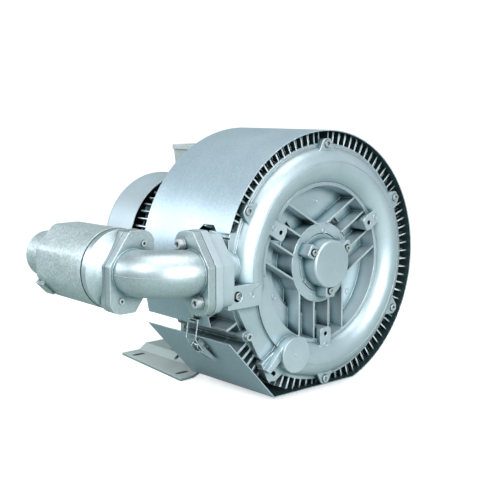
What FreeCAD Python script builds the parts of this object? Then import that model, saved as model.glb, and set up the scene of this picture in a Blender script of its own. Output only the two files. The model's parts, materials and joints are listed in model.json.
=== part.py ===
import FreeCAD, Part
import os
from math import atan2, cos, degrees, hypot, radians, sin, sqrt, tan

from FreeCAD import Vector

# Side channel blower with two stages, in millimetres.
# Every solid is drawn with the shaft on the Y axis, the hood's front edge at Y = 0, Z up and the
# motor towards +Y, and is then set down so that the origin lies on the floor, midway between the
# two front slots of the base plate. Angles run from +X towards +Z, as seen from the front.

# shaft and floor
shaft_height = 288.0
shaft_radius = 24.0
shaft_step = 4.0
fit_gap = 0.05
running_gap = 1.0
seat_gap = 0.3

# sheet hood
hood_radius = 285.0
hood_sheet = 2.0
hood_length = 278.0
hood_bottom = min(hood_radius - 15.0, shaft_height - 18.0)
hood_panel_top = (13.0 - hood_radius, -137.0)
hood_panel_foot = 135.0 - hood_radius
hood_arc_end = 190.0
hood_lip = 64.0

# side channels and impeller chambers
channel_pitch = 212.0
channel_radius = 33.0
casting_wall = 6.0
chamber_radius = 247.0
chamber_depth = 56.0
channel_web = 9.0
front_face = 25.0
channel_start = -120.0
channel_end = 190.0

# fins of the castings
fin_pitch = 4.0
fin_thickness = 5.0
lug_free_angle = 4.5
front_free = (157.0, 204.0)
middle_free = (180.0, 196.0)
rear_free = (-20.0, 20.0)

# front cover, from the rim to the hub
rim_radius = 257.0
rim_thickness = 14.0
lip_radius = 167.0
lip_width = 7.0
lip_front = 9.0
recess_taper = 4.0
shelf_depth = 39.0
shelf_radius = 116.0
pocket_depth = 12.0
hub_radius = 86.6
hub_front = 15.0
well_radius = 64.0
well_depth = 12.0
rib_thickness = 4.0
rib_spacing = 44.0
rib_front = 12.0
rib_directions = (-90.0, 30.0, 150.0)
disc_place = 210.0
disc_radius = 38.0
disc_front = -20.0
band_angles = (184.0, 212.0, 236.0)
band_radii = (190.0, 207.0, 214.0)
land_distance = 246.5
land_direction = 208.0
gusset_outline = ((-184, -193), (-166, -232), (-146, -235), (-124, -222), (-124, -190), (-150, -172))
gusset_rounds = (2, 8, 8, 4, 2, 2)
gusset_front = 2.0
gusset_web = ((-128, -156), (-136, -160), (-180, -205), (-172, -212), (-128, -180))
gusset_web_front = -12.0

# lugs and screws of the casings
lug_circle = 256.0
lug_radius = 11.0
lug_front = 5.0
lug_angles = (90.0, 30.0, -30.0, -90.0, -150.0, 150.0)
casing_screw = 5.0
screw_gap = 0.5
block_centre = (-257.0, -38.0)
block_front = -3.0
lift_circle = 155.0
lift_thread = 5.1
lift_depth = 30.0
lift_front = -2.0
lift_width = 32.0

# bearing cap
cap_radius = 51.7
cap_front = -20.5
cap_ear_circle = 58.6
cap_ear_front = -11.0
cap_ear_width = 24.0
cap_screw = 4.0

# bearings
bearing_outer = 45.0
bearing_inner = 20.0
bearing_width = 23.0
bearing_race = 6.0
ball_radius = 7.0
ball_count = 9
seal_radius = 38.0
seal_width = 6.0
spring_width = 3.0
sleeve_radius = 23.0
nut_length = 10.0
nut_radius = 30.0

# impellers
blade_count = 40
blade_thickness = 3.0
blade_inner = 178.0
ring_wall = 6.0
divider = 6.0
impeller_web = 8.0
impeller_hub = 46.0
key_width = 10.0
key_height = 5.0

# ports, elbows and silencers
port_height = 17.0
port_reach = 338.0
port_plate = 17.0
port_bore = 40.0
port_wall = 6.0
port_root_radius = 38.0
port_root = 236.0
front_port = 14.0
front_port_root = 42.0
rear_port = 206.0
rear_port_root = 197.0
gasket = 2.0
bend_radius = 81.0
flange_corners = ((52, 80), (52, -16), (5, -80), (-52, -80), (-52, 16), (-5, 80))
flange_rounds = (26, 8, 6, 26, 8, 6)
flange_bolts = ((27, 54), (-27, -54))
flange_screw = 6.0
silencer_plate = 15.0
silencer_head = 26.0
silencer_front = 82.0
silencer_rear = 77.0
silencer_seam = 3.0
silencer_barrel = 200.0
silencer_shoulder = 28.0
silencer_neck = 50.0
silencer_wall = 4.0
neck_radius = 43.0
neck_bore = 38.0
tube_bore = 39.0
tube_wall = 1.5

# motor
motor_front = 262.0
motor_length = 238.0
motor_radius = 128.0
motor_wall = 9.0
motor_fin_tip = 155.0
motor_fin_count = 50
motor_fin = 3.0
box_free_angle = 24.0
foot_free_angle = 35.0
motor_seat = 150.0
core_length = 130.0
core_front = 315.0
core_gap = 0.7
rotor_radius = 74.0
core_slots = 24
core_slot_width = 6.0
winding_length = 28.0
cowl_radius = 165.4
cowl_front = 499.0
cowl_length = 118.0
cowl_sheet = 2.0
cowl_round = 16.0
grille_radii = (42.0, 62.0, 82.0, 102.0, 122.0)
grille_slot = 12.0
fan_radius = 148.0
fan_blades = 9
rear_bearing_outer = 40.0
rear_bearing_width = 18.0

# terminal box
box_width = 140.0
box_length = 128.0
box_front = 331.0
box_floor = 152.0
box_height = 80.0
box_taper = 6.0
box_wall = 4.0
lid_height = 11.0
gland_radius = 16.0
gland_pad = 54.0
pad_rise = 2.5
cable_bore = 9.0

# base plate and motor foot
base_sheet = 6.0
base_rise = 20.0
base_rear = 566.0
base_front = 281.0
base_inner = 98.0
base_top = 77.0
base_outline = ((-98, 566), (-150, 566), (-185, 277), (-145, 281), (-98, 309))
front_slot = (149.0, 319.0)
rear_slot = (128.0, 524.0)
slot_length = 36.0
slot_width = 14.0
foot_front = 305.0
foot_length = 160.0
foot_width = 140.0
foot_plate = 12.0
foot_bolt = 5.0

# toggle latch
latch_place = 105.0
latch_width = 22.0
latch_height = 12.0
latch_hinge = 14.0
latch_throw = (8.0, 4.1)
latch_ledge = 11.0
latch_lever_length = 58.0
latch_wire = 1.6
latch_sheet = 1.6
latch_pin = 2.0

well_floor = hub_front + well_depth
front_seat = well_floor + spring_width
joint_one = front_face + chamber_depth
joint_two = joint_one + 2 * channel_radius + channel_web
rear_face = joint_two + chamber_depth
rear_back = rear_face + channel_radius + casting_wall
fin_root = chamber_radius + casting_wall
hood_inside = hood_radius - hood_sheet
fin_tip = hood_inside - seat_gap

front_axis = Vector(0, -1, 0)
origin = Vector(0, 0, 0)


# shapes


def polar(radius, angle):
    return radius * cos(radians(angle)), radius * sin(radians(angle))


def to_xz(a, b):
    return Vector(a, 0, b)


def to_yz(a, b):
    return Vector(0, a, b)


def to_xy(a, b):
    return Vector(a, b, 0)


def rod(radius, y0, y1, x=0.0, z=0.0):
    return Part.makeCylinder(radius, y1 - y0, Vector(x, y0, z), Vector(0, 1, 0))


def rod_x(radius, x0, x1, y, z):
    low = min(x0, x1)
    return Part.makeCylinder(radius, abs(x1 - x0), Vector(low, y, z), Vector(1, 0, 0))


def rod_z(radius, z0, z1, x, y):
    return Part.makeCylinder(radius, z1 - z0, Vector(x, y, z0), Vector(0, 0, 1))


def ring(outer, inner, y0, y1, x=0.0, z=0.0):
    return rod(outer, y0, y1, x, z).cut(rod(inner, y0 - 1, y1 + 1, x, z))


def block(x0, x1, y0, y1, z0, z1):
    return Part.makeBox(x1 - x0, y1 - y0, z1 - z0, Vector(x0, y0, z0))


def around(shape, angle):
    copy = shape.copy()
    copy.rotate(origin, front_axis, angle)
    return copy


def fused(shapes):
    shapes = list(shapes)
    whole = shapes[0].multiFuse(shapes[1:]) if len(shapes) > 1 else shapes[0]
    return whole.removeSplitter()


def joined(shapes):
    """Shapes fused one after another."""
    whole = shapes[0]
    for shape in shapes[1:]:
        whole = whole.fuse(shape)
    return whole.removeSplitter()


def carved(body, tools):
    """Body less each tool in turn."""
    for tool in tools:
        body = body.cut(tool)
    return body.removeSplitter()


def group(shapes):
    return Part.Compound([solid for shape in shapes for solid in shape.Solids])


def rounded_wire(points, radii, place=to_xz):
    """Closed outline with tangent arcs at its corners."""
    count = len(points)
    if not hasattr(radii, "__len__"):
        radii = [radii] * count
    edges = []
    corners = []
    for i in range(count):
        before = Vector(*points[i - 1], 0)
        corner = Vector(*points[i], 0)
        after = Vector(*points[(i + 1) % count], 0)
        back = (before - corner).normalize()
        ahead = (after - corner).normalize()
        if radii[i] <= 0:
            corners.append((corner, None, corner))
            continue
        half = back.getAngle(ahead) / 2
        reach = radii[i] / tan(half)
        middle_line = (back + ahead).normalize()
        middle = corner + middle_line * (radii[i] / sin(half) - radii[i])
        corners.append((corner + back * reach, middle, corner + ahead * reach))
    for i in range(count):
        start, middle, end = corners[i]
        if middle:
            arc_points = [place(point.x, point.y) for point in (start, middle, end)]
            edges.append(Part.Arc(*arc_points).toShape())
        following = corners[(i + 1) % count][0]
        if (following - end).Length > 1e-6:
            edges.append(Part.makeLine(place(end.x, end.y), place(following.x, following.y)))
    return Part.Wire(Part.__sortEdges__(edges))


def prism(points, low, high, radii=0, place=to_xz):
    """Outline in one plane, drawn out along the third direction from low to high."""
    along = {to_xz: Vector(0, 1, 0), to_yz: Vector(1, 0, 0), to_xy: Vector(0, 0, 1)}[place]
    face = Part.Face(rounded_wire(points, radii, place))
    face.translate(along * low)
    return face.extrude(along * (high - low))


def turned(steps, start=0.0, sweep=360.0):
    """Solid turned round the shaft axis, from steps (radius, y) or arcs (mid r, mid y, end r, end y)."""
    edges = []
    here = Vector(steps[0][0], steps[0][1], 0)
    first = here
    for step in steps[1:]:
        there = Vector(step[-2], step[-1], 0)
        if len(step) == 4:
            edges.append(Part.Arc(here, Vector(step[0], step[1], 0), there).toShape())
        else:
            edges.append(Part.makeLine(here, there))
        here = there
    if (first - here).Length > 1e-6:
        edges.append(Part.makeLine(here, first))
    face = Part.Face(Part.Wire(edges))
    solid = face.revolve(origin, front_axis, sweep)
    return around(solid, start) if start else solid


def fin_ring(bore, root, tip_at, y0, y1, angles, thickness):
    """Ring with straight fins outside, as one outline drawn out along the shaft."""
    edges = []
    flanks = []
    for angle in sorted(angles):
        out = Vector(*polar(1, angle), 0)
        side = Vector(-out.y, out.x, 0) * (thickness / 2)
        base = out * sqrt(root ** 2 - (thickness / 2) ** 2)
        tip = out * tip_at(angle)
        flanks.append((angle, base - side, tip - side, tip + side, base + side))
    for i, (angle, a, b, c, d) in enumerate(flanks):
        corners = [to_xz(p.x, p.y) for p in (a, b, c, d)]
        for start, end in zip(corners, corners[1:]):
            edges.append(Part.makeLine(start, end))
        next_angle, following = flanks[(i + 1) % len(flanks)][:2]
        span = (next_angle - angle) % 360
        middle = to_xz(*polar(root, angle + span / 2))
        edges.append(Part.Arc(corners[3], middle, to_xz(following.x, following.y)).toShape())
    outer = Part.Wire(edges)
    inner = Part.Wire(Part.makeCircle(bore, origin, Vector(0, 1, 0)))
    face = Part.makeFace([outer, inner], "Part::FaceMakerBullseye")
    face.translate(Vector(0, y0, 0))
    return face.extrude(Vector(0, y1 - y0, 0))


def casing_fin_tip(angle):
    """Fins reach the round hood, and stop short of its flat bottom and its slanted panel."""
    tip = fin_tip
    out = panel_direction()[1]
    panel = hood_panel_top[0] * out[0] + hood_panel_top[1] * out[1]
    for normal, distance in (((0, -1), hood_bottom), (out, panel)):
        facing = cos(radians(angle)) * normal[0] + sin(radians(angle)) * normal[1]
        if facing > 0.5:
            corner = fin_thickness / 2 * sqrt(max(0, 1 - facing ** 2))
            tip = min(tip, (distance - hood_sheet - seat_gap - corner) / facing)
    return tip


def casing_fin_angles(free):
    low, high = free
    angles = []
    for i in range(int(360 / fin_pitch)):
        angle = i * fin_pitch
        near_lug = any(abs((angle - lug + 180) % 360 - 180) < lug_free_angle for lug in lug_angles)
        if not near_lug and not 0 < (angle - low) % 360 < high - low:
            angles.append(angle)
    return angles


def socket_screw(radius, length):
    """Socket screw along +Y with the underside of its head at Y = 0."""
    head = rod(1.6 * radius, -2 * radius, 0)
    socket = [polar(radius, 60 * i) for i in range(6)]
    head = head.cut(prism(socket, -2 * radius - 1, -radius))
    return head.fuse(rod(radius, 0, length)).removeSplitter()


def placed(shape, x, y, z):
    copy = shape.copy()
    copy.translate(Vector(x, y, z))
    return copy


def save(name, shape):
    copy = shape.copy()
    copy.translate(Vector(0, -front_slot[1], shaft_height))
    copy.exportStep("parts/" + name + ".step")
    print(name, len(copy.Solids), round(copy.Volume / 1000, 1), copy.isValid())


# castings


def lug_columns(y0, y1, hole):
    columns = []
    holes = []
    for angle in lug_angles:
        x, z = polar(lug_circle, angle)
        columns.append(rod(lug_circle - chamber_radius - 0.5, y0, y1, x, z))
        holes.append(rod(hole, lug_front - 1, y1 + 1, x, z))
    return columns, holes


def channel_cut(face, direction):
    """Half-round side channel, open towards the impeller at the given face."""
    low = channel_pitch - channel_radius
    high = channel_pitch + channel_radius
    crest = face + direction * channel_radius
    steps = [(low, face), (channel_pitch, crest, high, face)]
    return turned(steps, channel_start + 4, channel_end - channel_start - 8)


def channel_back(face, direction, start, sweep):
    """Bulge of the casting that covers a side channel."""
    low = lip_radius + lip_width
    high = rim_radius - rim_thickness / 2
    crest = face + direction * (channel_radius + casting_wall)
    foot = face + direction * rim_thickness
    steps = [(low, face), (low, foot), (channel_pitch, crest, high, foot), (high, face)]
    return turned(steps, start, sweep)


def port_neck(centre, root_centre):
    """Duct of the left port, from the flange plate to the chamber, with its bore."""
    plate_inner = port_reach - gasket - port_plate

    def duct(radius, root_radius, outer_x, inner_x):
        wide = Part.makeCircle(radius, Vector(-outer_x, centre, port_height), Vector(1, 0, 0))
        slim = Part.makeCircle(root_radius, Vector(-inner_x, root_centre, port_height), Vector(1, 0, 0))
        return Part.makeLoft([Part.Wire(wide), Part.Wire(slim)], True, True)

    body = duct(port_bore + port_wall, port_root_radius, plate_inner + 1, port_root)
    hollow = [
        duct(port_bore, port_root_radius - port_wall, plate_inner, port_root),
        rod_x(port_bore, -plate_inner, -port_reach - 1, centre, port_height),
    ]
    return body.fuse(flange_plate(centre)), hollow


def flange_plate(centre):
    """Cast flange of the housing's left port, square to X."""
    outer = -port_reach + gasket
    plate = prism(flange_outline(centre), outer, outer + port_plate, flange_rounds, to_yz)
    for y, z in flange_bolt_places(centre):
        plate = plate.cut(rod_x(flange_screw, outer - 1, outer + port_plate + 1, y, z))
    return plate


def flange_outline(centre):
    return [(centre + u, port_height + v) for u, v in flange_corners]


def flange_bolt_places(centre):
    return [(centre + u, port_height + v) for u, v in flange_bolts]


def chamber_ring(y0, y1, free):
    angles = casing_fin_angles(free)
    return fin_ring(chamber_radius, fin_root, casing_fin_tip, y0, y1, angles, fin_thickness)


def front_housing():
    shelf = lip_front + shelf_depth
    pocket = shelf + pocket_depth
    back = pocket + casting_wall
    bearing_back = front_seat + bearing_width
    lip_outer = lip_radius + lip_width
    recess_radius = lip_radius - recess_taper
    sleeve = recess_radius + casting_wall
    centre = turned([
        (shaft_radius + 1.5, back), (shaft_radius + 1.5, bearing_back + seal_width),
        (seal_radius, bearing_back + seal_width), (seal_radius, bearing_back),
        (bearing_outer, bearing_back), (bearing_outer, well_floor),
        (well_radius, well_floor), (well_radius, hub_front),
        (hub_radius, hub_front), (hub_radius + 2, pocket),
        (shelf_radius, pocket), (shelf_radius + 1, shelf),
        (recess_radius, shelf), (lip_radius, lip_front),
        (lip_outer, lip_front), (lip_outer, front_face),
        (sleeve, front_face), (sleeve, shelf + casting_wall),
        (shelf_radius - casting_wall, shelf + casting_wall), (shelf_radius - casting_wall, back),
    ])
    rim = turned([
        (lip_outer - 1, rim_back()), (lip_outer - 1, front_face), (rim_radius, front_face),
        (rim_radius, rim_back() + 2), (rim_radius - 2, rim_back()),
    ])
    columns, holes = lug_columns(front_face - 1, joint_one, casing_screw + screw_gap)
    neck, hollow = port_neck(front_port, front_port_root)
    neck = neck.cut(rod(chamber_radius + casting_wall / 2, front_face, joint_one + 1))
    pads = [rod(lug_radius, lug_front, front_face, *polar(lug_circle, angle)) for angle in lug_angles]
    bulge = channel_back(front_face, -1, channel_start, channel_end - channel_start)
    shell = joined([centre, rim, chamber_ring(front_face, joint_one, front_free), bulge])
    details = front_ribs(shelf, pocket) + columns + pads + front_lugs(shelf)
    body = shell.multiFuse(details + [neck, block_lug(block_front, joint_one)])
    cuts = [channel_cut(front_face, -1)] + hollow + holes
    cuts.append(rod(casing_screw + screw_gap, block_front - 1, joint_one + 1, *block_centre))
    cuts.append(land_chord())
    cuts.append(gusset_hole())
    for angle in rib_directions:
        x, z = polar(lift_circle, angle)
        cuts.append(rod(lift_thread, lift_front - 1, lift_front + lift_depth, x, z))
        half = cap_ear_width / 2
        wide = half + 4
        inner = cap_ear_circle - 2 * half
        ear = block(inner, cap_ear_circle + half + 6, hub_front + 0.01, well_floor, -wide, wide)
        cuts.append(around(ear.cut(rod(bearing_outer, 0, 100)), angle))
        cx, cz = polar(cap_ear_circle, angle)
        cuts.append(rod(cap_screw, hub_front, well_floor + 16, cx, cz))
    return carved(body, cuts)


def rim_back():
    return front_face - rim_thickness


def front_ribs(shelf, pocket):
    ribs = []
    for direction in rib_directions:
        for step in (-1.5, -0.5, 0.5, 1.5):
            offset = step * rib_spacing
            hub = sqrt((hub_radius - 1) ** 2 - offset ** 2)
            middle = sqrt((shelf_radius - 2) ** 2 - offset ** 2)
            lip = sqrt((lip_radius + 3) ** 2 - offset ** 2)
            inside = sqrt((lip_radius + 0.5) ** 2 - offset ** 2)
            side = [(hub, rib_front), (lip, rib_front), (lip, front_face - 1), (inside, front_face - 1),
                    (inside, shelf + 2), (middle, shelf + 2), (middle, pocket + 2), (hub, pocket + 2)]
            rib = prism(side, offset - rib_thickness / 2, offset + rib_thickness / 2, 0, to_xy)
            ribs.append(around(rib, direction))
    return ribs


def front_lugs(shelf):
    """Threaded lugs on the lip, the end disc of the channel, the raised band and the lower gusset."""
    pieces = []
    half = lift_width / 2
    for angle in rib_directions:
        lug = prism([(lift_circle - 14, -half), (192, -half), (192, half), (lift_circle - 14, half)],
                    lift_front, front_face - 1, (8, 3, 3, 8))
        root = prism([(lift_circle - 14, -half), (lip_radius - 1, -half), (lip_radius - 1, half),
                      (lift_circle - 14, half)], lift_front + 1, shelf + 1, (8, 0, 0, 8))
        pieces.extend([around(lug, angle), around(root, angle)])
    disc_x, disc_z = polar(disc_place, channel_start)
    pieces.append(rod(disc_radius, disc_front, front_face, disc_x, disc_z))
    pieces.append(raised_band())
    pieces.append(prism(gusset_outline, gusset_front, front_face - 5, gusset_rounds))
    pieces.append(prism(gusset_web, gusset_web_front, front_face - 5))
    return pieces


def raised_band():
    """Raised land between the lip and the rim, from the port round to the lower gusset."""
    outside = [to_xz(*polar(radius, angle)) for radius, angle in zip(band_radii, band_angles)]
    inside = [to_xz(*polar(lip_radius + 1, angle)) for angle in band_angles]
    edges = [
        Part.makeLine(inside[0], outside[0]), Part.Arc(*outside).toShape(),
        Part.makeLine(outside[2], inside[2]), Part.Arc(*inside[::-1]).toShape(),
    ]
    face = Part.Face(Part.Wire(edges))
    face.translate(Vector(0, lip_front - 4, 0))
    return face.extrude(Vector(0, front_face - lip_front + 4, 0))


def land_chord():
    """Flat cut along the rim between the block lug and the lower gusset."""
    cutter = block(land_distance, land_distance + 40, rim_back() - 1, front_face, -70, 70)
    columns = [rod(lug_radius, 0, 100, *polar(lug_circle, -150)), block_lug(block_front, 100)]
    cutter = around(cutter, land_direction)
    for column in columns:
        cutter = cutter.cut(column)
    return cutter


def gusset_hole():
    x, z = polar(264, -125.5)
    return rod(5, 0, 30, x, z).fuse(rod(5, 0, 30, x + 5, z - 4))


def block_lug(y0, y1):
    x, z = block_centre
    front = block(x - 23, x + 36, y0, front_face, z - 20, z + 18)
    column = block(x - 13, x + 8, y0, y1, z - 13, z + 13)
    return front.fuse(column)


def middle_housing():
    wall = ring(fin_root - 1, lip_radius + 2, joint_one, joint_two)
    plate_front = joint_one + channel_radius
    plate = ring(lip_radius + 3, shaft_radius + impeller_wall(), plate_front, plate_front + channel_web)
    columns, holes = lug_columns(joint_one, joint_two, casing_screw + screw_gap)
    outer = chamber_ring(joint_one, joint_two, middle_free)
    x, z = block_centre
    short = block(x - 13, x + 8, joint_one, joint_one + 30, z - 13, z + 13)
    body = fused([outer, wall, plate, short] + columns)
    crossing = rod(22, joint_one + 10, joint_two - 10, *polar(channel_pitch, 165))
    cuts = [channel_cut(joint_one, 1), channel_cut(joint_two, -1), crossing] + holes
    cuts.append(rod(casing_screw, joint_one - 1, joint_one + 20, x, z))
    return carved(body, cuts)


def impeller_wall():
    return 12.0 + running_gap


def rear_housing():
    lip_outer = lip_radius + lip_width
    plate_back = rear_face + casting_wall + 2
    bore = shaft_radius + shaft_step + running_gap
    seat = turned([
        (bore, rear_face), (lip_outer + 6, rear_face), (lip_outer + 6, rear_face + rim_thickness),
        (lip_outer - 4, rear_face + rim_thickness), (lip_outer - 4, plate_back), (motor_radius, plate_back),
        (motor_radius, motor_front - 14), (motor_seat, motor_front - 12), (motor_seat, motor_front),
        (motor_radius - motor_wall, motor_front), (motor_radius - motor_wall, plate_back),
        (bore, plate_back),
    ])
    rim = ring(rim_radius - 3, lip_outer, rear_face, rear_face + rim_thickness)
    bulge = channel_back(rear_face, 1, channel_start, channel_end - channel_start)
    columns, holes = lug_columns(joint_two, rear_face + rim_thickness, casing_screw)
    outer = chamber_ring(joint_two, rear_face + rim_thickness, rear_free)
    neck, hollow = port_neck(rear_port, rear_port_root)
    body = fused([outer, rim, seat, bulge, mirrored(neck)] + columns + motor_studs())
    cuts = [rod(chamber_radius, joint_two - 1, rear_face), channel_cut(rear_face, 1)] + holes
    cuts.extend(mirrored(tool) for tool in hollow)
    for x, z in motor_bolt_places():
        cuts.append(rod(casing_screw, motor_front - 16, motor_front + 1, x, z))
    return carved(body, cuts)


def motor_bolt_places():
    return [polar(motor_seat - 10, 45 + 90 * i) for i in range(4)]


def motor_studs():
    return [rod(9, rear_face + casting_wall, motor_front, x, z) for x, z in motor_bolt_places()]


def bearing_cap():
    body = turned([
        (0, cap_front), (cap_radius - 3, cap_front), (cap_radius, cap_front + 3), (cap_radius, well_floor),
        (bearing_outer - bearing_race, well_floor), (bearing_outer - bearing_race, cap_front + 6),
        (0, cap_front + 6),
    ])
    holes = []
    for angle in rib_directions:
        half = cap_ear_width / 2
        ear = prism([(cap_radius - 8, -half), (cap_ear_circle + half, -half), (cap_ear_circle + half, half),
                     (cap_radius - 8, half)], cap_ear_front, well_floor, (0, 8, 8, 0))
        body = body.fuse(around(ear, angle))
        x, z = polar(cap_ear_circle, angle)
        holes.append(rod(cap_screw + screw_gap, cap_ear_front - 1, well_floor + 1, x, z))
        holes.append(rod(2 * cap_screw, cap_ear_front - 20, cap_ear_front, x, z))
    return body.cut(Part.Compound(holes)).removeSplitter()


def bearing_cap_screws():
    screw = socket_screw(cap_screw, well_floor + 14 - cap_ear_front)
    places = [polar(cap_ear_circle, angle) for angle in rib_directions]
    return group(placed(screw, x, cap_ear_front, z) for x, z in places)


def housing_screws():
    screw = socket_screw(casing_screw, rear_face - lug_front)
    short = socket_screw(casing_screw, joint_one + 18 - block_front)
    screws = [placed(screw, x, lug_front, z) for x, z in (polar(lug_circle, a) for a in lug_angles)]
    screws.append(placed(short, block_centre[0], block_front, block_centre[1]))
    return group(screws)


# rotor


def impeller(ring_front, web_middle, hub_front_face, hub_back_face):
    """Bladed ring with a divider in the middle, on a flat web and a keyed hub."""
    y0 = ring_front + running_gap
    y1 = ring_front + chamber_depth - running_gap
    middle = (y0 + y1) / 2
    tip = chamber_radius - running_gap
    inner = blade_inner - ring_wall
    parts = [
        ring(blade_inner, inner, y0, y1),
        ring(tip, blade_inner - 1, middle - divider / 2, middle + divider / 2),
        ring(inner + 1, shaft_radius + 1, web_middle - impeller_web / 2, web_middle + impeller_web / 2),
        ring(impeller_hub, shaft_radius, hub_front_face, hub_back_face),
    ]
    half = (y1 - y0) / 2
    blade = prism(
        [(blade_inner - 1, middle - half), (tip - 10, middle - half), (tip, middle - half + 12),
         (tip, middle + half - 12), (tip - 10, middle + half), (blade_inner - 1, middle + half)],
        -blade_thickness / 2, blade_thickness / 2, 0, to_xy)
    parts.extend(around(blade, 360 * i / blade_count) for i in range(blade_count))
    body = fused(parts)
    return body.cut(key_slot(hub_front_face, hub_back_face))


def key_slot(y0, y1):
    return block(0, shaft_radius + key_height / 2 + 0.2, y0 - 1, y1 + 1, -key_width / 2, key_width / 2)


def rotor_places():
    """Middle of each impeller's web, and the two ends of its hub."""
    front_web = front_face + chamber_depth - 8
    front_hub = (front_web - 6, joint_one + channel_radius - 6)
    rear_middle = joint_two + chamber_depth / 2
    rear_hub = (front_hub[1] + channel_web + 12, rear_middle + 18)
    return front_web, front_hub, rear_middle, rear_hub


def rotor_shaft():
    _, front_hub, _, rear_hub = rotor_places()
    nose = front_seat - nut_length - 4
    tail = rear_bearing_place() + rear_bearing_width
    core_back = core_front + core_length + 20
    stub = cowl_front + 70
    wide = shaft_radius + shaft_step
    shaft = turned([
        (0, nose), (bearing_inner, nose), (bearing_inner, front_hub[0] + 1),
        (shaft_radius, front_hub[0] + 1), (shaft_radius, rear_hub[1]), (wide, rear_hub[1]),
        (wide, core_back), (bearing_inner, core_back), (bearing_inner, tail),
        (bearing_inner - 4, tail), (bearing_inner - 4, stub), (0, stub),
    ])
    half = key_width / 2
    return shaft.cut(block(shaft_radius - key_height / 2, shaft_radius + 1, *key_span(), -half, half))


def key_span():
    _, front_hub, _, rear_hub = rotor_places()
    return front_hub[0] + 2, rear_hub[1] - 1


def shaft_nut():
    """Nut that clamps bearing, sleeve and impellers against the shaft's shoulder."""
    hexagon = [polar(nut_radius, 60 * i) for i in range(6)]
    return prism(hexagon, front_seat - nut_length, front_seat).cut(rod(bearing_inner, 0, front_seat + 1))


def hub_sleeve():
    """Sleeve between the front bearing and the front impeller's hub, that the seal runs on."""
    front_hub = rotor_places()[1]
    return ring(sleeve_radius, bearing_inner, front_seat + bearing_width, front_hub[0])


def impeller_key():
    rise = key_height / 2
    half = key_width / 2
    return block(shaft_radius - rise, shaft_radius + rise, *key_span(), -half, half)


def impeller_spacer():
    _, front_hub, _, rear_hub = rotor_places()
    tube = ring(shaft_radius + 12, shaft_radius, front_hub[1], rear_hub[0])
    return tube.cut(key_slot(front_hub[1], rear_hub[0]))


def rear_bearing_place():
    return motor_front + motor_length - 22


def bearing_parts(outer, inner, y0, y1):
    """Outer ring, inner ring and balls, with a hair of play between balls and outer ring."""
    middle = (y0 + y1) / 2
    pitch = (outer + inner) / 2
    groove = Part.makeTorus(pitch, ball_radius, Vector(0, middle, 0), Vector(0, 1, 0))
    outside = ring(outer, outer - bearing_race, y0, y1).cut(groove)
    inside = ring(inner + bearing_race, inner, y0, y1).cut(groove)
    balls = []
    for i in range(ball_count):
        x, z = polar(pitch, 360 * i / ball_count)
        balls.append(Part.makeSphere(ball_radius - fit_gap, Vector(x, middle, z)))
    return outside, inside, group(balls)


def shaft_seal():
    start = front_seat + bearing_width
    lip = sleeve_radius + 2 * fit_gap
    return turned([
        (seal_radius, start), (seal_radius, start + seal_width), (lip, start + seal_width),
        (lip, start + seal_width - 2), (seal_radius - 4, start + seal_width - 2),
        (seal_radius - 4, start),
    ])


def wave_spring():
    """Spring ring between the cap and the bearing's outer ring."""
    return ring(bearing_outer - 0.5, bearing_outer - bearing_race + 1, well_floor, front_seat)


def rotor_core():
    core = ring(rotor_radius, shaft_radius + shaft_step, core_front, core_front + core_length)
    parts = [core]
    for y in (core_front - 12, core_front + core_length):
        parts.append(ring(rotor_radius - 4, rotor_radius - 22, y, y + 12))
    return fused(parts)


# motor


def motor_fin_angles():
    """Even steps, left out below the terminal box and at the foot."""
    step = 360 / motor_fin_count
    angles = [(i + 0.5) * step for i in range(motor_fin_count)]
    return [a for a in angles if abs(a - 90) > box_free_angle and abs(a - 270) > foot_free_angle]


def motor_frame():
    back = motor_front + motor_length
    bore = motor_radius - motor_wall
    angles = motor_fin_angles()
    root = motor_radius
    body = fin_ring(bore, root, lambda angle: motor_fin_tip, motor_front + 12, back, angles, motor_fin)
    flange = ring(motor_seat, bore, motor_front, motor_front + 12)
    half = box_width / 2 - 12
    pad = block(-half, half, box_front + 8, box_front + box_length - 8, motor_radius - 30, box_floor)
    pad = pad.cut(rod(bore, motor_front, back))
    bosses = [rod(9, back - 24, back, x, z) for x, z in shield_bolt_places()]
    body = fused([body, flange, pad] + bosses)
    cuts = [rod_z(22, motor_radius - motor_wall - 5, box_floor + 1, 0, box_front + box_length / 2)]
    for x, z in motor_bolt_places():
        cuts.append(rod(casing_screw + screw_gap, motor_front - 1, motor_front + 13, x, z))
        cuts.append(rod(10, motor_front + 12, motor_front + 30, x, z))
    for x, z in shield_bolt_places():
        cuts.append(rod(3, back - 20, back + 1, x, z))
    return carved(body, cuts)


def shield_bolt_places():
    return [polar(motor_radius + 6, angle) for angle in (38, 142, -38, -142)]


def motor_screws():
    screw = socket_screw(casing_screw, 26)
    screw.rotate(origin, Vector(1, 0, 0), 180)
    return group(placed(screw, x, motor_front + 12, z) for x, z in motor_bolt_places())


def stator_core():
    core = ring(motor_radius - motor_wall, rotor_radius + core_gap, core_front, core_front + core_length)
    return core.cut(Part.Compound(core_bars(rotor_radius + core_gap - 1)))


def core_bars(inner):
    """Bars through the stator core's slots, from the inner radius outwards."""
    half = core_slot_width / 2
    bar = block(inner, rotor_radius + 22, core_front - 1, core_front + core_length + 1, -half, half)
    return [around(bar, 360 * i / core_slots) for i in range(core_slots)]


def stator_windings():
    heads = []
    for y in (core_front - winding_length, core_front + core_length):
        heads.append(ring(motor_radius - motor_wall - 6, rotor_radius + 4, y, y + winding_length))
    return fused(heads + core_bars(rotor_radius + 6))


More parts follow.
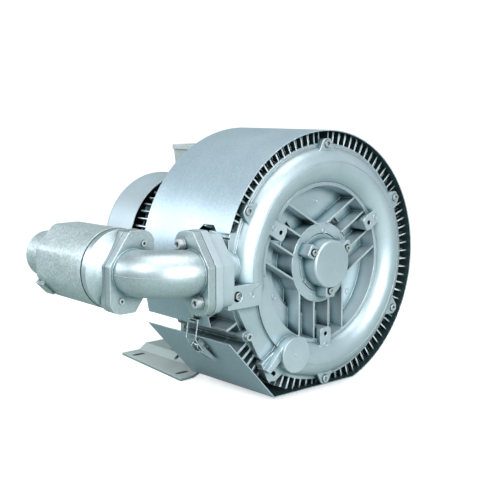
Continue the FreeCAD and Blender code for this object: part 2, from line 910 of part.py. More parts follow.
def rear_shield():
    back = motor_front + motor_length
    seat = rear_bearing_place()
    body = turned([
        (bearing_inner + 3, back + 6), (bearing_inner + 3, seat + rear_bearing_width),
        (rear_bearing_outer, seat + rear_bearing_width), (rear_bearing_outer, seat),
        (rear_bearing_outer + 9, seat), (rear_bearing_outer + 9, back - 4),
        (motor_radius - motor_wall, back - 4), (motor_radius - motor_wall, back),
        (motor_radius + 4, back), (motor_radius + 4, back + 6),
    ])
    ears = [rod(10, back, back + 6, x, z) for x, z in shield_bolt_places()]
    holes = [rod(3.3, back - 1, back + 7, x, z) for x, z in shield_bolt_places()]
    body = fused([body] + ears)
    return body.cut(Part.Compound(holes))


def cooling_fan():
    """Radial fan behind the motor, clamped on the shaft's tail."""
    y0 = cowl_front + 22
    hub = ring(34, bearing_inner - 4, y0, y0 + 42)
    disc = ring(fan_radius, 32, y0 + 36, y0 + 42)
    outline = [(30, y0 + 4), (fan_radius - 18, y0 + 4), (fan_radius - 2, y0 + 37), (30, y0 + 37)]
    blade = prism(outline, -2, 2, 0, to_xy)
    return fused([hub, disc] + [around(blade, 360 * i / fan_blades) for i in range(fan_blades)])


def fan_cowl():
    """Drawn sheet cowl with a rounded rear edge and a slotted grille."""
    back = cowl_front + cowl_length
    corner = cowl_round * (1 - sqrt(0.5))
    inner = cowl_round - cowl_sheet
    inner_corner = inner * (1 - sqrt(0.5))
    shell_radius = cowl_radius - cowl_sheet
    inner_back = back - cowl_sheet
    shell = turned([
        (shell_radius, cowl_front), (cowl_radius, cowl_front), (cowl_radius, back - cowl_round),
        (cowl_radius - corner, back - corner, cowl_radius - cowl_round, back), (0, back), (0, inner_back),
        (shell_radius - inner, inner_back),
        (shell_radius - inner_corner, inner_back - inner_corner, shell_radius, inner_back - inner),
    ])
    cuts = []
    for radius in grille_radii:
        outer = radius + grille_slot
        steps = [(radius, back - 5), (outer, back - 5), (outer, back + 1), (radius, back + 1)]
        cuts.extend(turned(steps, 90 * quarter + 8, 74) for quarter in range(4))
    for side in (-1, 1):
        cuts.append(rod_x(3.2, side * (shell_radius - 6), side * (cowl_radius + 6), cowl_front + 8, 0))
    return shell.cut(Part.Compound(cuts))


def cowl_screws():
    return group(cowl_screw(side) for side in (-1, 1))


def cowl_screw(side):
    shank = rod_x(3, side * (cowl_radius - 8), side * cowl_radius, cowl_front + 8, 0)
    head = rod_x(6, side * cowl_radius, side * (cowl_radius + 4), cowl_front + 8, 0)
    return shank.fuse(head)


def cowl_blocks():
    """Blocks on the rear shield's edge that the cowl is screwed to."""
    back = motor_front + motor_length
    half = 9.0
    outer = sqrt((cowl_radius - cowl_sheet) ** 2 - half ** 2) - seat_gap
    hole = rod_x(3, cowl_radius - 9, cowl_radius + 9, cowl_front + 8, 0)
    body = block(motor_radius + 1, outer, back, cowl_front + 16, -half, half).cut(hole)
    return [body, mirrored(body)]


# terminal box


def box_shape(inset, low, high):
    """Tapered body, slimmer at its foot."""
    def rectangle(z):
        share = (box_floor + box_height - z) / box_height
        dx = box_width / 2 - 3 - box_taper * share - inset
        y0 = box_front + 3 + box_taper * share + inset
        y1 = box_front + box_length - 3 - box_taper * share - inset
        corners = [(-dx, y0), (dx, y0), (dx, y1), (-dx, y1)]
        wire = rounded_wire(corners, 10 - inset, to_xy)
        wire.translate(Vector(0, 0, z))
        return wire
    return Part.makeLoft([rectangle(low), rectangle(high)], True, True)


def terminal_box():
    top = box_floor + box_height
    body = box_shape(0, box_floor, top).cut(box_shape(box_wall, box_floor + box_wall, top + 1))
    corners = [rod_z(5, box_floor + 2, top, x, y) for x, y in lid_screw_places()]
    wall, middle, height = gland_place()
    half = gland_pad / 2
    pad = block(wall - box_wall - pad_rise, wall + pad_rise, middle - half, middle + half, height - half,
                height + half)
    body = fused([body, pad] + corners)
    cuts = [rod_z(22, box_floor - 1, box_floor + box_wall + 1, 0, middle)]
    cuts.append(rod_x(gland_radius, wall - 20, wall + 10, middle, height))
    for x, y in lid_screw_places():
        cuts.append(rod_z(2, top - 16, top + 1, x, y))
    return body.cut(Part.Compound(cuts))


def lid_screw_places():
    dx = box_width / 2 - 15
    y0 = box_front + 15
    y1 = box_front + box_length - 15
    return [(-dx, y0), (dx, y0), (dx, y1), (-dx, y1)]


def lid_outline(inset):
    dx = box_width / 2 - inset
    y0 = box_front + inset
    y1 = box_front + box_length - inset
    return [(-dx, y0), (dx, y0), (dx, y1), (-dx, y1)]


def terminal_box_lid():
    top = box_floor + box_height
    lid = prism(lid_outline(0), top, top + lid_height, 12, to_xy)
    lid = lid.cut(prism(lid_outline(4.5), top - 1, top + lid_height - 4, 9, to_xy))
    for x, y in lid_screw_places():
        lid = lid.fuse(rod_z(5, top, top + lid_height - 3, x, y))
    holes = []
    for x, y in lid_screw_places():
        holes.append(rod_z(2.2, top - 1, top + lid_height + 1, x, y))
        holes.append(rod_z(4.2, top + lid_height - 3, top + lid_height + 1, x, y))
    return lid.cut(Part.Compound(holes)).removeSplitter()


def lid_screws():
    top = box_floor + box_height + lid_height
    screws = []
    for x, y in lid_screw_places():
        head = rod_z(4, top - 3, top - 0.5, x, y)
        slot = block(x - 5, x + 5, y - 0.6, y + 0.6, top - 1.5, top)
        screws.append(head.fuse(rod_z(2, top - lid_height - 14, top - 3, x, y)).cut(slot))
    return group(screws)


def terminal_board():
    middle = box_front + box_length / 2
    base = block(-32, 32, middle + 26, middle + 50, box_floor + box_wall, box_floor + box_wall + 14)
    parts = [base]
    for i in range(3):
        for j in range(2):
            x = (i - 1) * 20
            y = middle + 32 + 12 * j
            parts.append(rod_z(2.5, box_floor + box_wall + 10, box_floor + box_wall + 30, x, y))
            parts.append(rod_z(4.5, box_floor + box_wall + 10, box_floor + box_wall + 18, x, y))
    return fused(parts)


def gland_place():
    """Outside of the box's side wall at the gland, and the gland's centre."""
    return box_width / 2 - 3 - box_taper / 2, box_front + box_length / 2, box_floor + box_height / 2


def cable_gland():
    """Hexagonal gland on the side away from the silencer, with its lock nut inside the box."""
    wall, middle, height = gland_place()
    flank = gland_radius / cos(radians(30)) + 5
    corners = [polar(flank, 60 * i) for i in range(6)]
    hexagon = [(middle + u, height + v) for u, v in corners]
    body = prism(hexagon, wall + pad_rise, wall + 12, 0, to_yz)
    dome = rod_x(gland_radius + 3, wall + 12, wall + 30, middle, height)
    thread = rod_x(gland_radius - fit_gap, wall - 14, wall + pad_rise + 1, middle, height)
    nut = prism(hexagon, wall - 13, wall - box_wall - pad_rise, 0, to_yz)
    bore = rod_x(cable_bore, wall - 20, wall + 40, middle, height)
    return fused([body, dome, thread, nut]).cut(bore)


# ports


def mirrored(shape):
    return shape.mirror(origin, Vector(1, 0, 0))


def elbow():
    """Left elbow: quarter bend from the housing's flange to the silencer's flange."""
    outer = -port_reach - port_plate
    side_plate = prism(flange_outline(front_port), outer, -port_reach, flange_rounds, to_yz)
    end_plate = prism(flange_outline(silencer_axis()), elbow_end() - port_plate, elbow_end(), flange_rounds)
    body = fused([bend(port_bore + port_wall, -port_plate / 2), side_plate, end_plate])
    cuts = [bend(port_bore, 1)]
    for y, z in flange_bolt_places(front_port):
        cuts.append(rod_x(flange_screw + screw_gap, outer - 1, -port_reach + 1, y, z))
    for x, z in flange_bolt_places(silencer_axis()):
        cuts.append(rod(flange_screw + screw_gap, elbow_end() - port_plate - 1, elbow_end() + 1, x, z))
    return carved(body, cuts)


def bend(radius, overrun):
    """Round bar along the elbow's line, running past both flange faces by the overrun."""
    turn = Vector(-port_reach - port_plate, front_port, port_height)
    finish = Vector(silencer_axis(), elbow_end() - port_plate, port_height)
    share = bend_radius * (1 - sqrt(0.5))
    middle = Vector(silencer_axis() + share, front_port + share, port_height)
    start = Vector(-port_reach + overrun, front_port, port_height)
    end = Vector(silencer_axis(), elbow_end() + overrun, port_height)
    arc = Part.Arc(turn, middle, finish).toShape()
    line = Part.Wire([Part.makeLine(start, turn), arc, Part.makeLine(finish, end)])
    circle = Part.Wire(Part.makeCircle(radius, start, Vector(1, 0, 0)))
    return line.makePipeShell([circle], True, False)


def silencer_axis():
    return -port_reach - port_plate - bend_radius


def elbow_end():
    return front_port + bend_radius + port_plate


def port_gaskets():
    """Gaskets at both flanges of the left elbow."""
    x = silencer_axis()
    side = prism(flange_outline(front_port), -port_reach, -port_reach + gasket, flange_rounds, to_yz)
    side = side.cut(rod_x(port_bore, -port_reach - 1, -port_reach + gasket + 1, front_port, port_height))
    end = prism(flange_outline(x), elbow_end(), elbow_end() + gasket, flange_rounds)
    end = end.cut(rod(port_bore, elbow_end() - 1, elbow_end() + gasket + 1, x, port_height))
    hole = flange_screw + screw_gap
    for y, z in flange_bolt_places(front_port):
        side = side.cut(rod_x(hole, -port_reach - 1, -port_reach + gasket + 1, y, z))
    for x, z in flange_bolt_places(x):
        end = end.cut(rod(hole, elbow_end() - 1, elbow_end() + gasket + 1, x, z))
    return group([side, end])


def flange_screws():
    """Socket screws with washers at both flanges of the left elbow."""
    washer = 2.5
    screw = socket_screw(flange_screw, port_plate + gasket + washer + silencer_plate)
    screw = screw.fuse(ring(2 * flange_screw, flange_screw - 0.01, 0, washer)).removeSplitter()
    turned_screw = screw.copy()
    turned_screw.rotate(origin, Vector(0, 0, 1), -90)
    screws = []
    for y, z in flange_bolt_places(front_port):
        screws.append(placed(turned_screw, -port_reach - port_plate - washer, y, z))
    for x, z in flange_bolt_places(silencer_axis()):
        screws.append(placed(screw, x, elbow_end() - port_plate - washer, z))
    return group(screws)


def silencer_turned(steps):
    return placed(turned(steps), silencer_axis(), 0, port_height)


def silencer_places():
    plate = elbow_end() + gasket
    head = plate + silencer_plate
    seam = head + silencer_head
    shoulder = seam + silencer_barrel
    end = shoulder + silencer_shoulder
    return plate, head, seam, shoulder, end


def silencer_head_casting():
    plate, head, seam = silencer_places()[:3]
    x = silencer_axis()
    flange = prism(flange_outline(x), plate, head, flange_rounds)
    body = silencer_turned([
        (port_bore, plate + 2), (silencer_front - 20, head - 3), (silencer_front - 2, head + 8),
        (silencer_front - 2, seam - silencer_seam), (silencer_rear - 4, seam - silencer_seam),
        (silencer_rear - 4, seam + 8), (silencer_rear - 8, seam + 8), (silencer_rear - 8, head + 6),
        (port_bore, head + 6),
    ])
    casting = fused([flange, body])
    cuts = [rod(port_bore, plate - 1, head + 7, x, port_height)]
    for bolt_x, bolt_z in flange_bolt_places(x):
        cuts.append(rod(flange_screw, plate - 1, plate + silencer_plate + 0.01, bolt_x, bolt_z))
    return carved(casting, cuts)


def silencer_barrel_shell():
    _, _, seam, shoulder, end = silencer_places()
    wall = silencer_wall
    corner = silencer_shoulder * (1 - sqrt(0.5))
    flat = silencer_rear - silencer_shoulder
    inner_round = silencer_shoulder - wall
    inner_corner = inner_round * (1 - sqrt(0.5))
    return silencer_turned([
        (silencer_rear - 4, seam), (silencer_front, seam), (silencer_rear, shoulder),
        (silencer_rear - corner, end - corner, flat, end), (neck_radius, end),
        (neck_radius, end + silencer_neck), (neck_bore, end + silencer_neck),
        (neck_bore, end - wall), (flat, end - wall),
        (silencer_rear - wall - inner_corner, end - wall - inner_corner, silencer_rear - wall, shoulder),
    ])


def silencer_liner():
    _, head, _, shoulder, end = silencer_places()
    tube = tube_bore + tube_wall + seat_gap
    return silencer_turned([
        (tube, head + 6), (silencer_rear - 8, head + 6), (silencer_rear - 8, shoulder),
        (silencer_rear - silencer_shoulder, end - silencer_wall), (tube, end - silencer_wall),
    ])


def silencer_tube():
    _, head, _, _, end = silencer_places()
    start = head + 6
    finish = end - silencer_wall
    outer = tube_bore + tube_wall
    tube = silencer_turned([(tube_bore, start), (outer, start), (outer, finish), (tube_bore, finish)])
    x = silencer_axis()
    holes = []
    rows = 5
    for row in range(rows):
        y = start + (finish - start) * (row + 0.5) / rows
        for i in range(3):
            hole = Part.makeCylinder(6, 2 * neck_bore + 10, Vector(-neck_bore - 5, y, 0), Vector(1, 0, 0))
            holes.append(placed(around(hole, 60 * i + 30 * (row % 2)), x, 0, port_height))
    return tube.cut(Part.Compound(holes))


def to_rear_right(shape):
    """Second port's pieces: the same ones mirrored, further back."""
    return placed(mirrored(shape), 0, rear_port - front_port, 0)


# hood and latch


def hood_line():
    """Points of the hood's outside, from the slanted panel's top edge round to the upper sheet's lip."""
    flat = sqrt(hood_radius ** 2 - hood_bottom ** 2)
    arc_end = polar(hood_radius, hood_arc_end)
    out = polar(1, hood_arc_end)
    lip = (arc_end[0] - out[1] * hood_lip, arc_end[1] + out[0] * hood_lip)
    return hood_panel_top, (hood_panel_foot, -hood_bottom), (flat, -hood_bottom), arc_end, lip


def hood():
    top, foot, flat, arc_end, lip = hood_line()
    start_angle = degrees(atan2(flat[1], flat[0]))
    middle = polar(hood_radius, (start_angle + hood_arc_end) / 2)
    edges = [
        Part.makeLine(to_xz(*top), to_xz(*foot)), Part.makeLine(to_xz(*foot), to_xz(*flat)),
        Part.Arc(to_xz(*flat), to_xz(*middle), to_xz(*arc_end)).toShape(),
        Part.makeLine(to_xz(*arc_end), to_xz(*lip)),
    ]
    inside_top = shifted_panel_point(top, -hood_sheet)
    inside_foot, inside_flat = hood_inner_corners()
    out = polar(1, hood_arc_end)
    inside_end = polar(hood_inside, hood_arc_end)
    inside_lip = (lip[0] - out[0] * hood_sheet, lip[1] - out[1] * hood_sheet)
    inner_angle = degrees(atan2(inside_flat[1], inside_flat[0]))
    inner_middle = polar(hood_inside, (inner_angle + hood_arc_end) / 2)
    edges += [
        Part.makeLine(to_xz(*lip), to_xz(*inside_lip)),
        Part.makeLine(to_xz(*inside_lip), to_xz(*inside_end)),
        Part.Arc(to_xz(*inside_end), to_xz(*inner_middle), to_xz(*inside_flat)).toShape(),
        Part.makeLine(to_xz(*inside_flat), to_xz(*inside_foot)),
        Part.makeLine(to_xz(*inside_foot), to_xz(*inside_top)),
        Part.makeLine(to_xz(*inside_top), to_xz(*top)),
    ]
    sheet = Part.Face(Part.Wire(edges)).extrude(Vector(0, hood_length, 0))
    clear = port_bore + port_wall + 24
    low = port_height - clear
    high = port_height + clear
    front_cut = prism([
        (-1, high), (front_port + 26, high), (front_port + 38, high + 12), (front_port + 70, high + 12),
        (front_port + 82, high), (front_port + 82, -60), (front_port + 52, -90), (front_port + 48, -126),
        (-1, -126),
    ], -hood_radius - 20, -hood_radius * 0.5, (0, 8, 2, 2, 8, 4, 4, 0, 0), to_yz)
    rear_cut = prism([
        (rear_port - 66, low), (rear_port - 66, high), (hood_length + 1, high), (hood_length + 1, low),
    ], hood_radius * 0.5, hood_radius + 20, (20, 20, 0, 0), to_yz)
    rivets = [rivet_hole(y, s) for y, s in catch_rivets()] + [panel_hole(y, s) for y, s in base_rivets()]
    return sheet.cut(Part.Compound([front_cut, rear_cut] + rivets))


def panel_direction():
    top, foot = hood_panel_top, (hood_panel_foot, -hood_bottom)
    length = hypot(foot[0] - top[0], foot[1] - top[1])
    down = ((foot[0] - top[0]) / length, (foot[1] - top[1]) / length)
    return down, (down[1], -down[0])


def shifted_panel_point(point, offset):
    out = panel_direction()[1]
    return point[0] + out[0] * offset, point[1] + out[1] * offset


def hood_inner_corners():
    """Inside corners where the panel meets the flat bottom and the bottom meets the arc."""
    down = panel_direction()[0]
    inner_z = -hood_bottom + hood_sheet
    start = shifted_panel_point(hood_panel_top, -hood_sheet)
    run = (inner_z - start[1]) / down[1]
    foot = (start[0] + down[0] * run, inner_z)
    flat = (sqrt(hood_inside ** 2 - inner_z ** 2), inner_z)
    return foot, flat


def on_panel(s, height):
    """Point of the latch plane: s down the panel from its top edge, height above the sheet."""
    down = panel_direction()[0]
    x, z = shifted_panel_point(hood_panel_top, height)
    return x + down[0] * s, z + down[1] * s


def on_lip(s, height):
    """Point s above the upper sheet's lower edge, height outside the sheet."""
    lip = hood_line()[4]
    out = polar(1, hood_arc_end)
    return lip[0] + out[1] * s + out[0] * height, lip[1] - out[0] * s + out[1] * height


def catch_rivets():
    return [(latch_place - 7, 24), (latch_place + 7, 24)]


def base_rivets():
    return [(latch_place - 7, 34), (latch_place + 7, 34)]


def rivet_rod(on_sheet, s, low, high, y, radius):
    """Round bar through the lip or the panel, from the low height to the high one."""
    x0, z0 = on_sheet(s, low)
    x1, z1 = on_sheet(s, high)
    return Part.makeCylinder(radius, high - low, Vector(x0, y, z0), Vector(x1 - x0, 0, z1 - z0))


def rivet_hole(y, s):
    return rivet_rod(on_lip, s, -6, 6, y, 2)


def panel_hole(y, s):
    return rivet_rod(on_panel, s, -6, 6, y, 2)


def latch_rivet(on_sheet, s, y):
    head = rivet_rod(on_sheet, s, latch_sheet, latch_sheet + 1.6, y, 3.6)
    tail = rivet_rod(on_sheet, s, -hood_sheet - 1.4, -hood_sheet, y, 3.2)
    shank = rivet_rod(on_sheet, s, -hood_sheet - 1, latch_sheet + 1, y, 2)
    return fused([head, tail, shank])


def latch_rivets():
    rivets = [latch_rivet(on_lip, s, y) for y, s in catch_rivets()]
    rivets.extend(latch_rivet(on_panel, s, y) for y, s in base_rivets())
    return group(rivets)


def latch_catch():
    """Bent bracket on the upper sheet whose ledge holds the bail's cross wire from below."""
    half = latch_width / 2 + 4
    low = latch_ledge
    high = low + latch_sheet
    top = latch_height + 3
    foot = prism([on_lip(low, 0), on_lip(low, latch_sheet), on_lip(36, latch_sheet), on_lip(36, 0)],
                 latch_place - half, latch_place + half)
    shelf = prism([on_lip(low, 0), on_lip(low, top), on_lip(high, top), on_lip(high, 0)],
                  latch_place - half + 6, latch_place + half - 6)
    holes = [rivet_hole(y, s) for y, s in catch_rivets()]
    return foot.fuse(shelf).removeSplitter().cut(Part.Compound(holes))


def latch_base():
    """Plate on the slanted panel with two ears for the lever's pin."""
    half = latch_width / 2 + 4
    plate = prism([on_panel(5, 0), on_panel(5, latch_sheet), on_panel(42, latch_sheet), on_panel(42, 0)],
                  latch_place - half, latch_place + half)
    parts = [plate]
    s0 = latch_hinge - 5
    s1 = latch_hinge + 4.5
    top = latch_height + 4
    ear = [on_panel(s0, 0), on_panel(s0, top), on_panel(s1, top), on_panel(s1, 0)]
    for low in (-latch_width / 2 - 0.4 - latch_sheet, latch_width / 2 + 0.4):
        parts.append(prism(ear, latch_place + low, latch_place + low + latch_sheet, (0, 4, 4, 0)))
    cuts = [panel_hole(y, s) for y, s in base_rivets()]
    cuts.append(cross_hole(latch_pin, *on_panel(latch_hinge, latch_height)))
    return fused(parts).cut(Part.Compound(cuts))


def cross_hole(radius, x, z):
    """Bore across the latch with room for a pin or wire of the given radius."""
    return rod(radius + fit_gap, latch_place - 30, latch_place + 30, x, z)


def bail_pivot():
    """Where the bail hangs in the lever: a few degrees past its dead centre when the latch is shut."""
    return on_panel(latch_hinge + latch_throw[0], latch_height + latch_throw[1])


def latch_pin_rod():
    half = latch_width / 2 + 0.4 + latch_sheet
    return rod(latch_pin, latch_place - half, latch_place + half, *on_panel(latch_hinge, latch_height))


def latch_lever():
    """Folded lever with two flanks, lying on the panel when the latch is shut."""
    half = latch_width / 2
    start = latch_hinge - 4.0
    bend = latch_hinge + 17.0
    end = latch_hinge + latch_lever_length
    top = latch_height + 8
    tip = 9.0
    roof = [on_panel(bend - 4, top - latch_sheet), on_panel(bend - 4, top), on_panel(end, tip),
            on_panel(end, tip - latch_sheet)]
    flank = [on_panel(start, latch_height - 4), on_panel(start, top), on_panel(bend - 4, top - 0.2),
             on_panel(end - 12, tip + 1), on_panel(end - 12, tip - 4), on_panel(bend, latch_height - 5)]
    parts = [prism(roof, latch_place - half, latch_place + half)]
    for low in (-half, half - latch_sheet):
        parts.append(prism(flank, latch_place + low, latch_place + low + latch_sheet, (3, 3, 0, 0, 0, 2)))
    pin_hole = cross_hole(latch_pin, *on_panel(latch_hinge, latch_height))
    wire_hole = cross_hole(latch_wire, *bail_pivot())
    return fused(parts).cut(Part.Compound([pin_hole, wire_hole]))


def latch_bail():
    """Bent wire loop from the lever's flanks, round the panel's edge, to the catch."""
    side = latch_width / 2 + 0.4 + latch_sheet + latch_wire + 1.0
    inside = latch_width / 2 - latch_sheet - 2
    pivot = bail_pivot()
    corner = on_panel(-9, latch_height + 1)
    bar = on_lip(latch_ledge + latch_sheet + latch_wire + seat_gap, latch_height - 3)
    half = [(pivot, inside), (pivot, side), (corner, side), (bar, side)]
    path = [Vector(x, latch_place - reach, z) for (x, z), reach in half]
    path.extend(Vector(x, latch_place + reach, z) for (x, z), reach in half[::-1])
    parts = []
    for start, end in zip(path, path[1:]):
        parts.append(Part.makeCylinder(latch_wire, (end - start).Length, start, end - start))
    parts.extend(Part.makeSphere(latch_wire, point) for point in path[1:-1])
    return fused(parts)


# base


def base_plate():
    """One bent plate: two slotted slabs on the floor, slanted webs and a raised middle."""
    low = -shaft_height
    top = low + base_rise
    sheet = base_sheet
    inner = base_inner - sheet * 0.9
    hat = prism([
        (-base_inner, low), (-base_inner, low + sheet), (-base_top, top), (base_top, top),
        (base_inner, low + sheet), (base_inner, low), (inner, low), (base_top - 2, top - sheet),
        (2 - base_top, top - sheet), (-inner, low),
    ], base_front, base_rear)
    parts = [hat]
    for side in (-1, 1):
        outline = [(-side * x, y) for x, y in base_outline]
        parts.append(prism(outline if side > 0 else outline[::-1], low, low + sheet, 0, to_xy))
    body = fused(parts)
    cuts = []
    for side in (-1, 1):
        for x, y in (front_slot, rear_slot):
            cuts.append(slot_hole(side * x, y))
        cuts.append(rod_x(6, side * 80, side * 110, 418, low + 13))
        cuts.append(rod_x(3, side * 80, side * 110, 385, low + 13))
    for x, y in foot_bolt_places():
        cuts.append(rod_z(foot_bolt + screw_gap, top - 20, top + 1, x, y))
    return carved(body, cuts)


def slot_hole(x, y):
    half = slot_width / 2
    reach = slot_length / 2
    corners = [(x - reach, y - half), (x + reach, y - half), (x + reach, y + half), (x - reach, y + half)]
    return prism(corners, -shaft_height - 1, -shaft_height + base_sheet + 1, half - 0.01, to_xy)


def foot_bolt_places():
    x = foot_width / 2 - 14
    rows = (foot_front + 20, foot_front + foot_length - 20)
    return [(side * x, y) for side in (-1, 1) for y in rows]


def motor_foot():
    """Cast saddle between the motor frame and the base plate."""
    low = -shaft_height + base_rise
    half = foot_width / 2
    parts = [block(-half, half, foot_front, foot_front + foot_length, low, low + foot_plate)]
    for y in (foot_front + 34, foot_front + foot_length - 46):
        parts.append(prism([(2 - half, low + 2), (half - 2, low + 2), (62, -90), (-62, -90)], y, y + 12))
    parts.append(block(-8, 8, foot_front + 34, foot_front + foot_length - 34, low + 2, -motor_radius + 5))
    body = fused(parts).cut(rod(motor_radius, motor_front, base_rear))
    top = low + foot_plate
    holes = [rod_z(foot_bolt + screw_gap, low - 1, top + 1, x, y) for x, y in foot_bolt_places()]
    return body.cut(Part.Compound(holes))


def foot_bolts():
    top = -shaft_height + base_rise
    bolts = []
    hexagon = [polar(1.8 * foot_bolt, 60 * i) for i in range(6)]
    for x, y in foot_bolt_places():
        points = [(x + a, y + b) for a, b in hexagon]
        head = prism(points, top + foot_plate, top + foot_plate + 6.5, 0, to_xy)
        nut = prism(points, top - base_sheet - 8, top - base_sheet, 0, to_xy)
        shank = rod_z(foot_bolt, top - base_sheet - 10, top + foot_plate + 1, x, y)
        bolts.append(fused([head, nut, shank]))
    return group(bolts)


os.makedirs("parts", exist_ok=True)

save("front_housing", front_housing())
save("middle_housing", middle_housing())
save("rear_housing", rear_housing())
save("bearing_cap", bearing_cap())
save("bearing_cap_screws", bearing_cap_screws())
save("housing_screws", housing_screws())

web_place, front_hub_span, rear_web_place, rear_hub_span = rotor_places()
save("front_impeller", impeller(front_face, web_place, *front_hub_span))
save("rear_impeller", impeller(joint_two, rear_web_place, *rear_hub_span))
save("impeller_spacer", impeller_spacer())
save("impeller_key", impeller_key())
save("rotor_shaft", rotor_shaft())
save("shaft_nut", shaft_nut())
save("hub_sleeve", hub_sleeve())
save("rotor_core", rotor_core())

bearings = {
    "front": (bearing_outer, front_seat, bearing_width),
    "rear": (rear_bearing_outer, rear_bearing_place(), rear_bearing_width),
}
for name, (outer_radius, seat, width) in bearings.items():
    outside, inside, balls = bearing_parts(outer_radius, bearing_inner, seat, seat + width)
    save(name + "_bearing_outer", outside)
    save(name + "_bearing_inner", inside)
    save(name + "_bearing_balls", balls)
save("shaft_seal", shaft_seal())
save("wave_spring", wave_spring())

save("motor_frame", motor_frame())
save("motor_screws", motor_screws())
save("stator_core", stator_core())
save("stator_windings", stator_windings())
save("rear_shield", fused([rear_shield()] + cowl_blocks()))
save("cooling_fan", cooling_fan())
save("fan_cowl", fan_cowl())
save("cowl_screws", cowl_screws())

save("terminal_box", terminal_box())
save("terminal_box_lid", terminal_box_lid())
save("lid_screws", lid_screws())
save("terminal_board", terminal_board())
save("cable_gland", cable_gland())

port_pieces = {
    "elbow": elbow(), "silencer_head": silencer_head_casting(), "silencer_barrel": silencer_barrel_shell(),
    "silencer_liner": silencer_liner(), "silencer_tube": silencer_tube(),
}
for name, shape in port_pieces.items():
    save("left_" + name, shape)
    save("right_" + name, to_rear_right(shape))
gaskets = port_gaskets()
screws = flange_screws()
save("port_gaskets", group([gaskets, to_rear_right(gaskets)]))
save("flange_screws", group([screws, to_rear_right(screws)]))

save("hood", hood())
save("latch_catch", latch_catch())
save("latch_base", latch_base())
save("latch_pin", latch_pin_rod())
save("latch_rivets", latch_rivets())
save("latch_lever", latch_lever())
save("latch_bail", latch_bail())

save("base_plate", base_plate())
save("motor_foot", motor_foot())
save("foot_bolts", foot_bolts())
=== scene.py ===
import json
import math

import bmesh
import bpy
from mathutils import Matrix, Vector


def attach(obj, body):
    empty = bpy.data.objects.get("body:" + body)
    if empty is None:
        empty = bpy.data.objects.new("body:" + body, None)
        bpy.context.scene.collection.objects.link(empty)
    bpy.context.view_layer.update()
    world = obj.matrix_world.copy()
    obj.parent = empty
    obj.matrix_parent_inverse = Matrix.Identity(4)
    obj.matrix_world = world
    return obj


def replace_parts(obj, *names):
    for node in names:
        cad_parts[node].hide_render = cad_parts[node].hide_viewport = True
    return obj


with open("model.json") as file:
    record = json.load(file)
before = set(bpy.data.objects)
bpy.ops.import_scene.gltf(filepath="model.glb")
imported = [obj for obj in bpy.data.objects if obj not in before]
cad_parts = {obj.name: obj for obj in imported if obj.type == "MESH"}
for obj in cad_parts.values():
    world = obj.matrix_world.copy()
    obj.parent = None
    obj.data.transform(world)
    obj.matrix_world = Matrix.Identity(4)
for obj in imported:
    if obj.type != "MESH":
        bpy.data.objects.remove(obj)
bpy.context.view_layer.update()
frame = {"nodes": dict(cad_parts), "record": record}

# Side channel blower, in metres. The origin is on the floor between the two front slots of the
# base plate, +Z up, +Y along the shaft towards the fan. Sizes in the dictionaries of the pieces
# are in mm, measured from the shaft's line and from the hood's front edge. The studio's are in metres.
nodes = frame["nodes"]
shaftHeight = 0.288
frontEdge = -0.319
mm = 0.001
hands = {-1: "left", 1: "right"}


def place(x, y, z):
    return Vector((x * mm, frontEdge + y * mm, shaftHeight + z * mm))


# materials

def linearColour(hexCode):
    # sRGB hex to the linear values that Blender wants
    parts = [int(hexCode[i:i + 2], 16) / 255 for i in (0, 2, 4)]
    return [p / 12.92 if p <= 0.04045 else ((p + 0.055) / 1.055) ** 2.4 for p in parts] + [1.0]


def addNode(tree, kind, settings={}, links={}):
    node = tree.nodes.new(kind)
    for name, value in settings.items():
        if isinstance(name, str) and hasattr(node, name):
            setattr(node, name, value)
        else:
            node.inputs[name].default_value = value
    for name, socket in links.items():
        tree.links.new(socket, node.inputs[name])
    return node


def newMaterial(name):
    material = bpy.data.materials.new(name)
    material.use_nodes = True
    material.node_tree.nodes.clear()
    return material, material.node_tree


